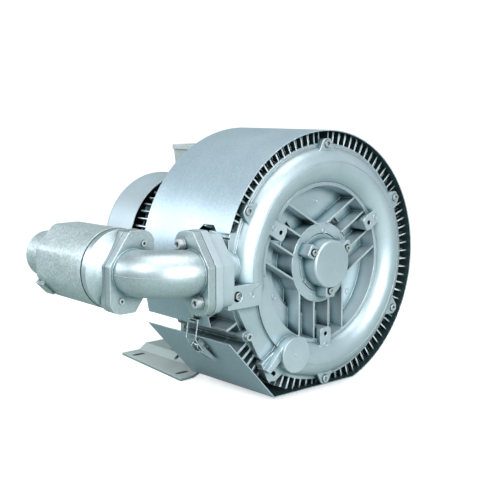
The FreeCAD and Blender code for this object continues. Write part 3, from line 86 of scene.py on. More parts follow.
def metalFinish(name, look):
    # one layered look for every skin of the blower: a fine grain that scatters the light, a broad
    # drift of tone, a painted highlight on the edges and painted shade in the inner corners. Pattern sizes are in mm
    material, tree = newMaterial(name)
    coordinates = addNode(tree, "ShaderNodeTexCoord").outputs
    spot = coordinates["Object"]
    grain = addNode(tree, "ShaderNodeTexNoise", {"Scale": 1000 / look["grain"], "Detail": 3.0, "Roughness": 0.65},
                    {"Vector": spot})
    drift = addNode(tree, "ShaderNodeTexNoise", {"Scale": 1000 / look["drift"], "Detail": 2.0}, {"Vector": spot})
    flakes = addNode(tree, "ShaderNodeTexVoronoi", {"Scale": 1000 / look["flake"]}, {"Vector": spot})
    speck = addNode(tree, "ShaderNodeSeparateColor", {}, {"Color": flakes.outputs["Color"]}).outputs[0]
    driftShare = addNode(tree, "ShaderNodeMapRange", {"From Min": look["driftFrom"], "From Max": look["driftTo"]},
                         {"Value": drift.outputs[0]})
    tone = addNode(tree, "ShaderNodeMix", {"data_type": "RGBA", 6: linearColour(look["colour"]),
                                           7: linearColour(look["shade"])}, {0: driftShare.outputs[0]})
    speckShare = addNode(tree, "ShaderNodeMath", {"operation": "MULTIPLY", 1: look["speckle"]}, {0: speck})
    flecked = addNode(tree, "ShaderNodeMix", {"data_type": "RGBA", 7: linearColour(look["fleck"])},
                      {0: speckShare.outputs[0], 6: tone.outputs[2]})
    # painted shade: ambient occlusion turns the paint teal in inner corners and near black in gaps, where shade falls
    corner = addNode(tree, "ShaderNodeAmbientOcclusion", {"samples": look["cornerSamples"],
                                                          "Distance": look["reach"] * mm})
    paintedShadeRamp = addNode(tree, "ShaderNodeValToRGB", {}, {0: corner.outputs["AO"]})
    paintedShadeRamp.color_ramp.elements[0].position = look["gapAt"]
    paintedShadeRamp.color_ramp.elements[0].color = linearColour(look["gap"])
    paintedShadeRamp.color_ramp.elements[1].position = look["openAt"]
    paintedShadeRamp.color_ramp.elements[1].color = (1, 1, 1, 1)
    middle = paintedShadeRamp.color_ramp.elements.new(look["cornerAt"])
    middle.color = linearColour(look["corner"])
    paintedShadeColour = addNode(tree, "ShaderNodeMix", {"data_type": "RGBA", "blend_type": "MULTIPLY", 0: 1.0},
                       {6: flecked.outputs[2], 7: paintedShadeRamp.outputs[0]})
    if "inside" in look:
        # painted shade: faces that look at the shaft, the inner side of the sheet where little light comes, are mixed
        # towards a darker colour
        away = addNode(tree, "ShaderNodeVectorMath", {"operation": "SUBTRACT", 1: place(0, 0, 0)}, {0: spot})
        level = addNode(tree, "ShaderNodeVectorMath", {"operation": "MULTIPLY", 1: (1, 0, 1)}, {0: away.outputs[0]})
        side = addNode(tree, "ShaderNodeVectorMath", {"operation": "DOT_PRODUCT"},
                       {0: level.outputs[0], 1: coordinates["Normal"]})
        inward = addNode(tree, "ShaderNodeMapRange", {"From Min": 0.0, "From Max": look["insideAt"]},
                         {"Value": side.outputs["Value"]})
        paintedShadeColour = addNode(tree, "ShaderNodeMix", {"data_type": "RGBA", 7: linearColour(look["inside"])},
                           {0: inward.outputs[0], 6: paintedShadeColour.outputs[2]})
    # painted highlight: where the bevel's rounded normal parts from the true normal, at the edges, the colour is
    # mixed towards a bright one
    rounded = addNode(tree, "ShaderNodeBevel", {"samples": look["edgeSamples"], "Radius": look["edge"] * mm})
    trueNormal = addNode(tree, "ShaderNodeNewGeometry").outputs["Normal"]
    agree = addNode(tree, "ShaderNodeVectorMath", {"operation": "DOT_PRODUCT"},
                    {0: rounded.outputs[0], 1: trueNormal})
    rubbed = addNode(tree, "ShaderNodeMapRange", {"From Min": look["flatAt"], "From Max": look["rubbedAt"],
                                                  "To Max": look["rub"]}, {"Value": agree.outputs["Value"]})
    edged = addNode(tree, "ShaderNodeMix", {"data_type": "RGBA", 7: linearColour(look["bright"])},
                    {0: rubbed.outputs[0], 6: paintedShadeColour.outputs[2]})
    roughness = addNode(tree, "ShaderNodeMapRange", {"To Min": look["roughness"] - look["spread"],
                                                     "To Max": look["roughness"] + look["spread"]},
                        {"Value": grain.outputs[0]})
    height = addNode(tree, "ShaderNodeMath", {"operation": "MULTIPLY_ADD", 1: look["speckBump"]},
                     {0: speck, 2: grain.outputs[0]})
    bump = addNode(tree, "ShaderNodeBump", {"Strength": look["bump"], "Distance": look["depth"] * mm},
                   {"Height": height.outputs[0], "Normal": rounded.outputs[0]})
    shader = addNode(tree, "ShaderNodeBsdfPrincipled", {"Metallic": look["metallic"]},
                     {"Base Color": edged.outputs[2], "Roughness": roughness.outputs[0], "Normal": bump.outputs[0]})
    addNode(tree, "ShaderNodeOutputMaterial", {}, {"Surface": shader.outputs[0]})
    return material


# shared look: gap and corner are the colours of the painted shade in hollows, bright that of the painted highlight on
# edges
castLook = {
    "colour": "BAC7CC", "shade": "ABBABF", "fleck": "E4EAEE", "bright": "FFFFFF",
    "metallic": 0.6, "roughness": 0.40, "spread": 0.06, "grain": 1.6, "flake": 1.8, "speckle": 0.15,
    "drift": 90, "driftFrom": 0.35, "driftTo": 0.65,
    "reach": 22, "gap": "0A2022", "gapAt": 0.22, "corner": "7CA4A9", "cornerAt": 0.52, "openAt": 0.88,
    "cornerSamples": 6, "insideAt": -0.1,
    "edge": 1.7, "rub": 1.0, "flatAt": 0.99, "rubbedAt": 0.80, "edgeSamples": 4,
    "speckBump": 0.5, "bump": 0.3, "depth": 0.25,
}


def variant(base, **changes):
    return {**base, **changes}


# die-cast aluminium under a thin silver spray: satin, with a fine orange-peel grain
castSilver = metalFinish("silverSprayedCasting", castLook)
# the fins: a pale colour on their fronts as a painted highlight, and painted shade between them
finSilver = metalFinish("finEdgesPaintedHighlight", variant(
    castLook, colour="F4F8FA", shade="E8EEF1", metallic=0.2, roughness=0.45, reach=30, gap="0A2022", gapAt=0.3,
    corner="4F7074", cornerAt=0.7, openAt=0.95, edge=0.6, rub=0.3))
# sand-cast aluminium of the elbows and silencer heads: coarser grain and a glossier spray
portSilver = metalFinish("silverSprayedElbow", variant(
    castLook, colour="ADB9BC", shade="9FACAD", roughness=0.42, metallic=0.8, flake=2.4, speckle=0.25, edge=2.0))
# spun aluminium of the silencers, blasted and lacquered: a speckled satin
silencerSilver = metalFinish("blastedSilencerAluminium", variant(
    castLook, colour="9BA9AA", shade="8E9D99", roughness=0.50, metallic=0.5, flake=3.0, speckle=0.45, edge=1.5,
    bump=0.6, speckBump=0.9))
# rolled sheet under a metallic silver coat: smooth, with the flakes of the paint, and painted shade on its inner side
hoodSilver = metalFinish("metallicPaintedSheet", variant(
    castLook, colour="A9BBC4", shade="A0B3BD", fleck="EEF4F8", roughness=0.45, metallic=0.6, grain=2.2, flake=2.2,
    speckle=0.22, edge=0.8, bump=0.25, inside="3E5154"))
# the same paint on the cowl, flatter, and sprayed on the motor's frame
cowlSilver = metalFinish("palePaintedCowl", variant(
    castLook, colour="A9B6BC", shade="A0AEB5", metallic=0.35, roughness=0.5, flake=2.0, speckle=0.12))
frameSilver = metalFinish("silverSprayedMotorFrame", variant(castLook, colour="B7C3C8", shade="A9B7BC"))
# off-white enamel of the terminal box
boxEnamel = metalFinish("offWhiteEnamel", variant(
    castLook, colour="AEB4B3", shade="A4AAA9", fleck="C4C8C6", metallic=0.0, roughness=0.4, speckle=0.05, edge=1.6))
# pale powder coat of the base plate: matt, faintly green
baseCoat = metalFinish("palePowderCoat", variant(
    castLook, colour="CDD6D2", shade="C3CDC8", fleck="E4EAE6", metallic=0.1, roughness=0.5, grain=1.2,
    flake=1.4, speckle=0.12, edge=1.2))
footIron = metalFinish("sprayedIronFoot", variant(castLook, colour="9EA9AB", shade="8F9B9D", metallic=0.3))
# zinc-plated screws: bright, with painted shade darkening their sockets
screwZinc = metalFinish("zincPlatedSteel", variant(
    castLook, colour="E2E5E6", shade="D3D7D8", metallic=0.8, roughness=0.32, grain=0.9, flake=0.9, speckle=0.1,
    reach=5, gap="0C1414", corner="5E6C6E", edge=0.5, bump=0.15))
# polished stainless steel of the latch, with near black painted shade in its hollows
latchSteel = metalFinish("polishedStainless", variant(
    castLook, colour="E6EAEC", shade="D8DEE0", metallic=0.85, roughness=0.22, grain=0.8, flake=1.0, speckle=0.08,
    reach=9, gap="060A0A", corner="4E5A5C", edge=0.6, bump=0.1))
# ground and turned steel of shaft, key and bearings
shaftSteel = metalFinish("groundSteel", variant(
    castLook, colour="B3B6B8", shade="A2A6A9", metallic=1.0, roughness=0.26, grain=0.8, edge=0.5))
# sheet packs, lacquered wire and zinc-plated tube
laminations = metalFinish("laminatedSteel", variant(castLook, colour="5C6063", shade="4A4E52", roughness=0.5))
windingCopper = metalFinish("lacqueredCopper", variant(
    castLook, colour="A8572C", shade="8A4222", fleck="D98A54", metallic=0.9, roughness=0.35, grain=1.5))
tubeZinc = metalFinish("perforatedZincTube", variant(castLook, colour="A9AFB1", shade="989FA2", metallic=1.0))
# fibre gasket, rubber lip, moulded resin and nylon, needled fibre: matt, and none of them metal
# bright, here and below, is the colour of the painted highlight on their edges
innerDark = variant(castLook, colour="23282A", shade="1B2022", fleck="3A4144", bright="50585B", metallic=0.0,
                    roughness=0.6)
gasketFibre = metalFinish("fibreGasket", innerDark)
sealRubber = metalFinish("nitrileRubber", variant(innerDark, colour="141617", shade="101213", roughness=0.55))
fanNylon = metalFinish("mouldedNylonFan", variant(innerDark, colour="1C1F21", shade="17191B", roughness=0.45))
boardResin = metalFinish("mouldedResinBoard", variant(innerDark, colour="3A2C22", shade="32261D", roughness=0.4))
glandNylon = metalFinish("mouldedNylonGland", variant(
    innerDark, colour="8E9698", shade="848C8E", fleck="A4ABAD", bright="B8BEC0", roughness=0.42))
linerFibre = metalFinish("needledFibre", variant(
    innerDark, colour="C9C1A4", shade="B8AF90", fleck="DED7BF", bright="DED7BF", roughness=0.95, grain=3.0,
    bump=0.8, depth=1.0))
print("materials made:", len(bpy.data.materials))

slotFinish = {
    "cast_aluminium": castSilver, "port_aluminium": portSilver, "silencer_aluminium": silencerSilver,
    "hood_sheet": hoodSilver, "motor_paint": frameSilver, "shield_iron": frameSilver, "cowl_paint": cowlSilver,
    "box_paint": boxEnamel, "screw_steel": screwZinc, "latch_steel": latchSteel, "shaft_steel": shaftSteel,
    "lamination_steel": laminations, "winding_copper": windingCopper, "gasket_fibre": gasketFibre,
    "seal_rubber": sealRubber, "liner_fibre": linerFibre, "tube_steel": tubeZinc, "base_paint": baseCoat,
    "foot_iron": footIron, "fan_plastic": fanNylon, "board_plastic": boardResin, "gland_plastic": glandNylon,
}
for entry in frame["record"]["subparts"]:
    skins = nodes[entry["node"]].data.materials
    skins.clear()
    skins.append(slotFinish[entry["material_slot"]])
print("nodes dressed:", len(nodes))


# what repeats on the castings grows from node trees: each tree has its sizes as named inputs, in
# metres, and takes its places from the points of a small mesh

def treeFor(name, sizes):
    tree = bpy.data.node_groups.new(name, "GeometryNodeTree")
    tree.interface.new_socket(name="Geometry", in_out="INPUT", socket_type="NodeSocketGeometry")
    for size in sizes:
        tree.interface.new_socket(name=size, in_out="INPUT", socket_type="NodeSocketFloat")
    tree.interface.new_socket(name="Geometry", in_out="OUTPUT", socket_type="NodeSocketGeometry")
    return tree, tree.nodes.new("NodeGroupInput").outputs


def closeTree(tree, geometry, finish):
    real = addNode(tree, "GeometryNodeRealizeInstances", {}, {0: geometry})
    dressed = addNode(tree, "GeometryNodeSetMaterial", {"Material": finish}, {0: real.outputs[0]})
    addNode(tree, "NodeGroupOutput", {}, {0: dressed.outputs[0]})


def outwards(mesh):
    work = bmesh.new()
    work.from_mesh(mesh)
    bmesh.ops.recalc_face_normals(work, faces=work.faces)
    work.to_mesh(mesh)
    work.free()


def settle(piece, body="casing"):
    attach(piece, body)
    return piece


def meshFrom(work, name):
    mesh = bpy.data.meshes.new(name)
    work.to_mesh(mesh)
    work.free()
    return mesh


def grow(name, tree, sizes, points, edges=(), angles=()):
    # runs the tree on a small mesh of the points and keeps the result as a plain mesh
    seed = bpy.data.meshes.new(name + "Seed")
    seed.from_pydata([tuple(p) for p in points], list(edges), [])
    if angles:
        marks = seed.attributes.new("angle", "FLOAT", "POINT")
        marks.data.foreach_set("value", [math.radians(a) for a in angles])
    holder = bpy.data.objects.new(name + "Seed", seed)
    bpy.context.scene.collection.objects.link(holder)
    growth = holder.modifiers.new("growth", "NODES")
    growth.node_group = tree
    for item in tree.interface.items_tree:
        if item.in_out == "INPUT" and item.name in sizes:
            growth[item.identifier] = sizes[item.name]
    graph = bpy.context.evaluated_depsgraph_get()
    mesh = bpy.data.meshes.new_from_object(holder.evaluated_get(graph))
    holder.modifiers.remove(growth)
    bpy.data.objects.remove(holder)
    outwards(mesh)
    mesh.name = name
    piece = bpy.data.objects.new(name, mesh)
    bpy.context.scene.collection.objects.link(piece)
    return settle(piece)


# cooling fins: the casing's fins run forward to the front of the rim, and close in on each lug
fins = {
    "pitch": 4.0, "lugGap": 4.5, "openFrom": 156, "openTo": 242, "root": 255.0, "tip": 282.4, "bottom": 266.4,
    "front": 11.5, "back": 26.0, "thickness": 3.3, "leastDown": 0.1,
    "lugs": (30, 90, 150, 210, 270, 330), "lugStep": 3.0, "lugRoot": 252.0, "lugBack": 80.0,
}


def finTree():
    tree, source = treeFor("castFins", ["Root", "Tip", "Bottom", "Front", "Back", "Thickness"])
    angle = addNode(tree, "GeometryNodeInputNamedAttribute", {"data_type": "FLOAT", "Name": "angle"}).outputs[0]
    across = addNode(tree, "ShaderNodeMath", {"operation": "COSINE"}, {0: angle}).outputs[0]
    up = addNode(tree, "ShaderNodeMath", {"operation": "SINE"}, {0: angle}).outputs[0]
    # the hood is flat below: fins that point down end at its bottom, the others keep their length
    down = addNode(tree, "ShaderNodeMath", {"operation": "MULTIPLY", 1: -1.0}, {0: up}).outputs[0]
    facing = addNode(tree, "ShaderNodeMath", {"operation": "MAXIMUM", 1: fins["leastDown"]}, {0: down}).outputs[0]
    reach = addNode(tree, "ShaderNodeMath", {"operation": "DIVIDE"}, {0: source["Bottom"], 1: facing}).outputs[0]
    tip = addNode(tree, "ShaderNodeMath", {"operation": "MINIMUM"}, {0: source["Tip"], 1: reach}).outputs[0]
    ends = addNode(tree, "ShaderNodeMath", {"operation": "ADD"}, {0: tip, 1: source["Root"]}).outputs[0]
    middle = addNode(tree, "ShaderNodeMath", {"operation": "MULTIPLY", 1: 0.5}, {0: ends}).outputs[0]
    faces = addNode(tree, "ShaderNodeMath", {"operation": "ADD"}, {0: source["Front"], 1: source["Back"]}).outputs[0]
    x = addNode(tree, "ShaderNodeMath", {"operation": "MULTIPLY"}, {0: across, 1: middle}).outputs[0]
    y = addNode(tree, "ShaderNodeMath", {"operation": "MULTIPLY", 1: 0.5}, {0: faces}).outputs[0]
    z = addNode(tree, "ShaderNodeMath", {"operation": "MULTIPLY"}, {0: up, 1: middle}).outputs[0]
    spot = addNode(tree, "ShaderNodeCombineXYZ", {}, {0: x, 1: y, 2: z})
    spread = addNode(tree, "GeometryNodeSetPosition", {}, {0: source["Geometry"], "Position": spot.outputs[0]})
    long = addNode(tree, "ShaderNodeMath", {"operation": "SUBTRACT"}, {0: tip, 1: source["Root"]}).outputs[0]
    deep = addNode(tree, "ShaderNodeMath", {"operation": "SUBTRACT"}, {0: source["Back"], 1: source["Front"]})
    size = addNode(tree, "ShaderNodeCombineXYZ", {}, {0: long, 1: deep.outputs[0], 2: source["Thickness"]})
    back = addNode(tree, "ShaderNodeMath", {"operation": "MULTIPLY", 1: -1.0}, {0: angle}).outputs[0]
    turn = addNode(tree, "ShaderNodeCombineXYZ", {}, {1: back})
    slab = addNode(tree, "GeometryNodeMeshCube", {"Size": (1, 1, 1)})
    copies = addNode(tree, "GeometryNodeInstanceOnPoints", {}, {
        "Points": spread.outputs[0], "Instance": slab.outputs[0], "Rotation": turn.outputs[0],
        "Scale": size.outputs[0]})
    home = addNode(tree, "GeometryNodeTransform", {"Translation": place(0, 0, 0)}, {0: copies.outputs[0]})
    closeTree(tree, home.outputs[0], finSilver)
    return tree


def finSizes(root, back):
    sizes = {"Root": root, "Tip": fins["tip"], "Bottom": fins["bottom"], "Front": fins["front"], "Back": back,
             "Thickness": fins["thickness"]}
    return {name: value * mm for name, value in sizes.items()}


def farFromLugs(angle):
    return all(abs((angle - lug + 180) % 360 - 180) > fins["lugGap"] for lug in fins["lugs"])


def isOpen(angle):
    return fins["openFrom"] < angle % 360 < fins["openTo"]


allAngles = [i * fins["pitch"] for i in range(round(360 / fins["pitch"]))]
frontAngles = [a for a in allAngles if farFromLugs(a) and not isOpen(a)]
lugAngles = [a for lug in fins["lugs"] for a in (lug - fins["lugStep"], lug + fins["lugStep"]) if not isOpen(a)]
finGrowth = finTree()
grow("finFronts", finGrowth, finSizes(fins["root"], fins["back"]), [(0, 0, 0)] * len(frontAngles),
     angles=frontAngles)
grow("lugFins", finGrowth, finSizes(fins["lugRoot"], fins["lugBack"]), [(0, 0, 0)] * len(lugAngles),
     angles=lugAngles)
print("fins:", len(frontAngles) + len(lugAngles))


# plates with rounded corners and a bore

def roundedOutline(points, radii, steps=5):
    outline = []
    for i, point in enumerate(points):
        here = Vector(point)
        before = (Vector(points[i - 1]) - here).normalized()
        after = (Vector(points[(i + 1) % len(points)]) - here).normalized()
        radius = radii[i] if isinstance(radii, (list, tuple)) else radii
        if not radius:
            outline.append(here)
            continue
        half = before.angle(after) / 2
        centre = here + (before + after).normalized() * radius / math.sin(half)
        start = here + before * radius / math.tan(half) - centre
        swing = math.pi - 2 * half
        way = 1 if before.x * after.y - before.y * after.x < 0 else -1
        for step in range(steps + 1):
            turn = way * swing * step / steps
            outline.append(centre + Vector((start.x * math.cos(turn) - start.y * math.sin(turn),
                                            start.x * math.sin(turn) + start.y * math.cos(turn))))
    return outline


def onFront(u, v, depth):
    return Vector((u * mm, depth * mm, v * mm))


def onSide(u, v, depth):
    return Vector((depth * mm, u * mm, v * mm))


def circle(radius, sides, u=0.0, v=0.0):
    turns = [math.tau * k / sides for k in range(sides)]
    return [Vector((u + radius * math.cos(turn), v + radius * math.sin(turn))) for turn in turns]


def plateMesh(name, outline, bore, depths, toSpace=onFront, boreSides=40):
    # closed plate between two depths, with a round bore if it has one: bore is (u, v, radius)
    work = bmesh.new()
    loops = [outline]
    if bore:
        u, v, radius = bore
        loops.append(circle(radius, boreSides, u, v))
    edges = []
    for loop in loops:
        corners = [work.verts.new(toSpace(p.x, p.y, depths[0])) for p in loop]
        edges += [work.edges.new((corners[i - 1], corners[i])) for i in range(len(corners))]
    bmesh.ops.triangle_fill(work, use_beauty=True, edges=edges)
    grown = bmesh.ops.extrude_face_region(work, geom=list(work.faces), use_keep_orig=True)
    lift = toSpace(0, 0, depths[1]) - toSpace(0, 0, depths[0])
    bmesh.ops.translate(work, vec=lift, verts=[g for g in grown["geom"] if isinstance(g, bmesh.types.BMVert)])
    bmesh.ops.recalc_face_normals(work, faces=work.faces)
    bmesh.ops.dissolve_limit(work, angle_limit=0.01, verts=work.verts, edges=work.edges)
    return meshFrom(work, name)


def softEdges(piece, width, segments=2):
    bevel = piece.modifiers.new("softEdges", "BEVEL")
    bevel.width = width * mm
    bevel.segments = segments
    bevel.limit_method = "ANGLE"
    bevel.angle_limit = math.radians(40)
    bevel.harden_normals = True
    for polygon in piece.data.polygons:
        polygon.use_smooth = True


def aroundTree(name, pattern):
    # copies of one pattern at the angles of the points, upright along the radius
    tree, source = treeFor(name, ["Distance"])
    angle = addNode(tree, "GeometryNodeInputNamedAttribute", {"data_type": "FLOAT", "Name": "angle"}).outputs[0]
    across = addNode(tree, "ShaderNodeMath", {"operation": "COSINE"}, {0: angle}).outputs[0]
    up = addNode(tree, "ShaderNodeMath", {"operation": "SINE"}, {0: angle}).outputs[0]
    x = addNode(tree, "ShaderNodeMath", {"operation": "MULTIPLY"}, {0: across, 1: source["Distance"]}).outputs[0]
    z = addNode(tree, "ShaderNodeMath", {"operation": "MULTIPLY"}, {0: up, 1: source["Distance"]}).outputs[0]
    spot = addNode(tree, "ShaderNodeCombineXYZ", {}, {0: x, 2: z})
    spread = addNode(tree, "GeometryNodeSetPosition", {}, {0: source["Geometry"], "Position": spot.outputs[0]})
    lean = addNode(tree, "ShaderNodeMath", {"operation": "SUBTRACT", 0: math.pi / 2}, {1: angle}).outputs[0]
    turn = addNode(tree, "ShaderNodeCombineXYZ", {}, {1: lean})
    item = addNode(tree, "GeometryNodeObjectInfo", {"Object": pattern})
    copies = addNode(tree, "GeometryNodeInstanceOnPoints", {}, {
        "Points": spread.outputs[0], "Instance": item.outputs["Geometry"], "Rotation": turn.outputs[0]})
    home = addNode(tree, "GeometryNodeTransform", {"Translation": place(0, 0, 0)}, {0: copies.outputs[0]})
    closeTree(tree, home.outputs[0], castSilver)
    return tree


def repeatAround(name, outline, look):
    mesh = plateMesh(name + "Pattern", outline, (0, 0, look["bore"]), look["depths"])
    pattern = bpy.data.objects.new(name + "Pattern", mesh)
    bpy.context.scene.collection.objects.link(pattern)
    softEdges(pattern, look["soft"])
    grow(name, aroundTree(name + "Growth", pattern), {"Distance": look["circle"] * mm},
         [(0, 0, 0)] * len(look["angles"]), angles=look["angles"])
    bpy.data.objects.remove(pattern)


# screw lugs: a plate widening towards the channel, with the screw's head sunk in it
lugPlate = {
    "angles": (90, 30, 330, 270, 150), "circle": 256.0, "foot": (240.0, 48.0), "tip": (267.0, 20.0), "bore": 8.5,
    "depths": (-1.0, 24.0), "round": 8.0, "soft": 0.8,
}
low, high = lugPlate["foot"][0] - lugPlate["circle"], lugPlate["tip"][0] - lugPlate["circle"]
footHalf, tipHalf = lugPlate["foot"][1] / 2, lugPlate["tip"][1] / 2
lugOutline = roundedOutline([(-footHalf, low), (footHalf, low), (tipHalf, high), (-tipHalf, high)],
                            [0, 0, lugPlate["round"], lugPlate["round"]])
repeatAround("lugPlates", lugOutline, lugPlate)

# ears of the bearing cap: square blocks that the cap screws sit in
capEar = {
    "angles": (270, 30, 150), "circle": 58.6, "inner": 46.0, "outer": 72.6, "width": 27.6, "round": 4.0,
    "bore": 8.3, "depths": (-15.0, 26.0), "soft": 1.0,
}
low, high, half = capEar["inner"] - capEar["circle"], capEar["outer"] - capEar["circle"], capEar["width"] / 2
earOutline = roundedOutline([(-half, low), (half, low), (half, high), (-half, high)],
                            [0, 0, capEar["round"], capEar["round"]])
repeatAround("capEars", earOutline, capEar)
print("lug plates and cap ears placed")


# marks that the die's pins leave on flat faces: low rings, drawn thick enough to show

pinMark = {
    "radius": 5.6, "line": 1.0, "places": (
        (8.8, 14.9, 67.3), (-52.0, 14.9, -34.1), (13.5, 47.9, 130.8), (-108.0, 47.9, -66.7), (119.7, 47.9, -83.5),
        (-154.0, -2.1, 89.0), (154.0, -2.1, 89.0), (0.0, -2.1, -180.0), (-226.0, -15.1, -39.0),
        (-139.9, 1.9, -197.8)),
    "smallRadius": 1.6, "smallPlaces": ((-29.0, 14.9, -67.5), (-106.6, -20.1, -181.3)), "sides": 28,
}
lineSides = 8


def ringTree():
    tree, source = treeFor("pinMarks", ["Radius", "Line"])
    path = addNode(tree, "GeometryNodeCurvePrimitiveCircle", {"Resolution": pinMark["sides"]},
                   {"Radius": source["Radius"]})
    section = addNode(tree, "GeometryNodeCurvePrimitiveCircle", {"Resolution": lineSides}, {"Radius": source["Line"]})
    bead = addNode(tree, "GeometryNodeCurveToMesh", {}, {"Curve": path.outputs[0],
                                                         "Profile Curve": section.outputs[0]})
    upright = addNode(tree, "GeometryNodeTransform", {"Rotation": (math.pi / 2, 0, 0)}, {0: bead.outputs[0]})
    copies = addNode(tree, "GeometryNodeInstanceOnPoints", {}, {"Points": source["Geometry"],
                                                                "Instance": upright.outputs[0]})
    closeTree(tree, copies.outputs[0], castSilver)
    return tree


ringGrowth = ringTree()
grow("pinMarks", ringGrowth, {"Radius": pinMark["radius"] * mm, "Line": pinMark["line"] * mm},
     [place(*p) for p in pinMark["places"]])
grow("smallPinMarks", ringGrowth, {"Radius": pinMark["smallRadius"] * mm, "Line": pinMark["line"] * mm},
     [place(*p) for p in pinMark["smallPlaces"]])


# fine raised lines where the halves of a mould meet

def beadTree(finish):
    tree, source = treeFor("partingLines", ["Line"])
    path = addNode(tree, "GeometryNodeMeshToCurve", {}, {0: source["Geometry"]})
    section = addNode(tree, "GeometryNodeCurvePrimitiveCircle", {"Resolution": lineSides}, {"Radius": source["Line"]})
    bead = addNode(tree, "GeometryNodeCurveToMesh", {"Fill Caps": True}, {"Curve": path.outputs[0],
                                                                          "Profile Curve": section.outputs[0]})
    closeTree(tree, bead.outputs[0], finish)
    return tree


def polarPoint(radius, angle, depth):
    return place(radius * math.cos(math.radians(angle)), depth, radius * math.sin(math.radians(angle)))


def chain(points):
    return [(i, i + 1) for i in range(len(points) - 1)]


partingLine = {
    "line": 0.55, "channel": (219.0, -13.7), "channelFrom": -117, "channelTo": 186, "channelSteps": 120,
    "bendReach": 127.0, "bendRadius": 81.0, "bendSteps": 32, "flange": 355.0, "port": {-1: 14.0, 1: 206.0},
    "height": 17.0,
}
radius, depth = partingLine["channel"]
first, last, steps = partingLine["channelFrom"], partingLine["channelTo"], partingLine["channelSteps"]
channelLine = [polarPoint(radius, first + (last - first) * i / steps, depth) for i in range(steps + 1)]
grow("channelPartingLine", beadTree(castSilver), {"Line": partingLine["line"] * mm}, channelLine, chain(channelLine))
elbowGrowth = beadTree(portSilver)
reach, steps = partingLine["bendReach"], partingLine["bendSteps"]
for side, hand in hands.items():
    # a quarter of a circle, from the port's flange to the silencer
    turns = [math.radians(-90 - 90 * i / steps) for i in range(steps + 1)]
    centre = partingLine["port"][side] + partingLine["bendRadius"]
    line = [place(side * (partingLine["flange"] - reach * math.cos(turn)), centre + reach * math.sin(turn),
                  partingLine["height"]) for turn in turns]
    grow(hand + "ElbowPartingLine", elbowGrowth, {"Line": partingLine["line"] * mm}, line, chain(line))
print("pin marks and parting lines placed")


# the port side of the casing

def addPiece(name, mesh, slotName, soft=0.0, segments=2):
    piece = bpy.data.objects.new(name, mesh)
    bpy.context.scene.collection.objects.link(piece)
    mesh.materials.append(slotFinish[slotName])
    if soft:
        softEdges(piece, soft, segments)
    return settle(piece)


def addPlate(name, outline, bore, depths, soft=0.0, segments=2, toSpace=onFront):
    mesh = plateMesh(name, outline, bore, depths, toSpace)
    mesh.transform(Matrix.Translation(place(0, 0, 0)))
    addPiece(name, mesh, "cast_aluminium", soft, segments)


# block lug beside the port: it reaches forward over most of the channel's blunt end
blockLug = {
    "corners": ((-287, -63), (-198, -63), (-198, -16), (-287, -16)), "round": 2.5, "bore": (-262, -38, 10.5),
    "depths": (-15.0, 24.0), "soft": 1.5, "segments": 3,
}
addPlate("blockLugFace", roundedOutline(blockLug["corners"], blockLug["round"]), blockLug["bore"],
         blockLug["depths"], blockLug["soft"], blockLug["segments"])

# neck behind each port flange: six-sided like the flange, a little smaller, open inside
portNeck = {
    "corners": ((52, 80), (52, -16), (5, -80), (-52, -80), (-52, 16), (-5, 80)), "rounds": (26, 8, 6, 26, 8, 6),
    "scale": 0.9, "bore": 43.0, "outer": 320.0, "inner": 286.0, "height": 17.0, "centres": {-1: 14.0, 1: 206.0},
    "soft": 3.0, "segments": 3,
}
for side, hand in hands.items():
    centre, height, scale = portNeck["centres"][side], portNeck["height"], portNeck["scale"]
    outline = [Vector((centre + (p.x if side < 0 else -p.x) * scale, height + p.y * scale))
               for p in roundedOutline(portNeck["corners"], portNeck["rounds"])]
    addPlate(hand + "PortNeck", outline, (centre, height, portNeck["bore"]),
             (side * portNeck["outer"], side * portNeck["inner"]), portNeck["soft"], portNeck["segments"], onSide)

# wall of the port's runner: it rises beside the channel and has a groove below its top edge
portWall = {
    "outline": ((-263, -36), (-263, 73), (-258, 73), (-258, 76), (-263, 76), (-258, 86), (-226, 86), (-236, -36)),
    "depths": (13.0, 79.0), "soft": 1.2,
}
addPlate("portWall", [Vector(p) for p in portWall["outline"]], None, portWall["depths"], portWall["soft"])
print("block lug, port necks and port wall placed")

# barrel of each silencer: round at the seam, eight-sided with soft corners at the far end
barrel = {
    "axis": 436.0, "height": 17.0, "starts": {-1: 155.0, 1: 347.0}, "length": 184.0, "seam": 82.0, "flat": 76.0,
    "corner": 19.0, "leastCorner": 3.0, "round": 8.0, "neck": 50.0, "neckLength": 84.0, "bore": 40.0,
    "inside": 73.0, "wall": 4.0, "sides": 96, "rings": 24, "shoulderRings": 5, "change": 0.7, "soft": 1.2,
}
barrelEar = {"angles": {-1: 225, 1: 315}, "width": 36.0, "thickness": 5.0, "gap": 3.5, "inner": -8.0, "outer": 7.0,
             "stem": 22.0, "sunk": 0.5}


def octagonReach(angle, flat, corner):
    # distance to the outline of an octagon with rounded corners
    half = math.pi / 8
    off = abs((angle + half) % (2 * half) - half)
    core = (flat - corner) / math.cos(half)
    if math.tan(off) * flat < core * math.sin(half):
        return flat / math.cos(off)
    lean = half - off
    return core * math.cos(lean) + math.sqrt(corner ** 2 - (core * math.sin(lean)) ** 2)


def barrelReach(angle, share, inset):
    octagon = octagonReach(angle, barrel["flat"] - inset, max(barrel["corner"] - inset, barrel["leastCorner"]))
    return (1 - share) * barrel["seam"] + share * octagon


def addBox(work, base, out, width, heights, depths):
    # box on the barrel's side: out points away from the barrel's axis
    across = Vector((-out.y, out.x)) * width / 2
    corners = []
    for depth in depths:
        for way, height in ((-1, heights[0]), (1, heights[0]), (1, heights[1]), (-1, heights[1])):
            p = base + across * way + out * height
            corners.append(work.verts.new(place(p.x, depth, p.y)))
    for face in ((0, 1, 2, 3), (4, 5, 6, 7), (0, 1, 5, 4), (1, 2, 6, 5), (2, 3, 7, 6), (3, 0, 4, 7)):
        work.faces.new([corners[c] for c in face])


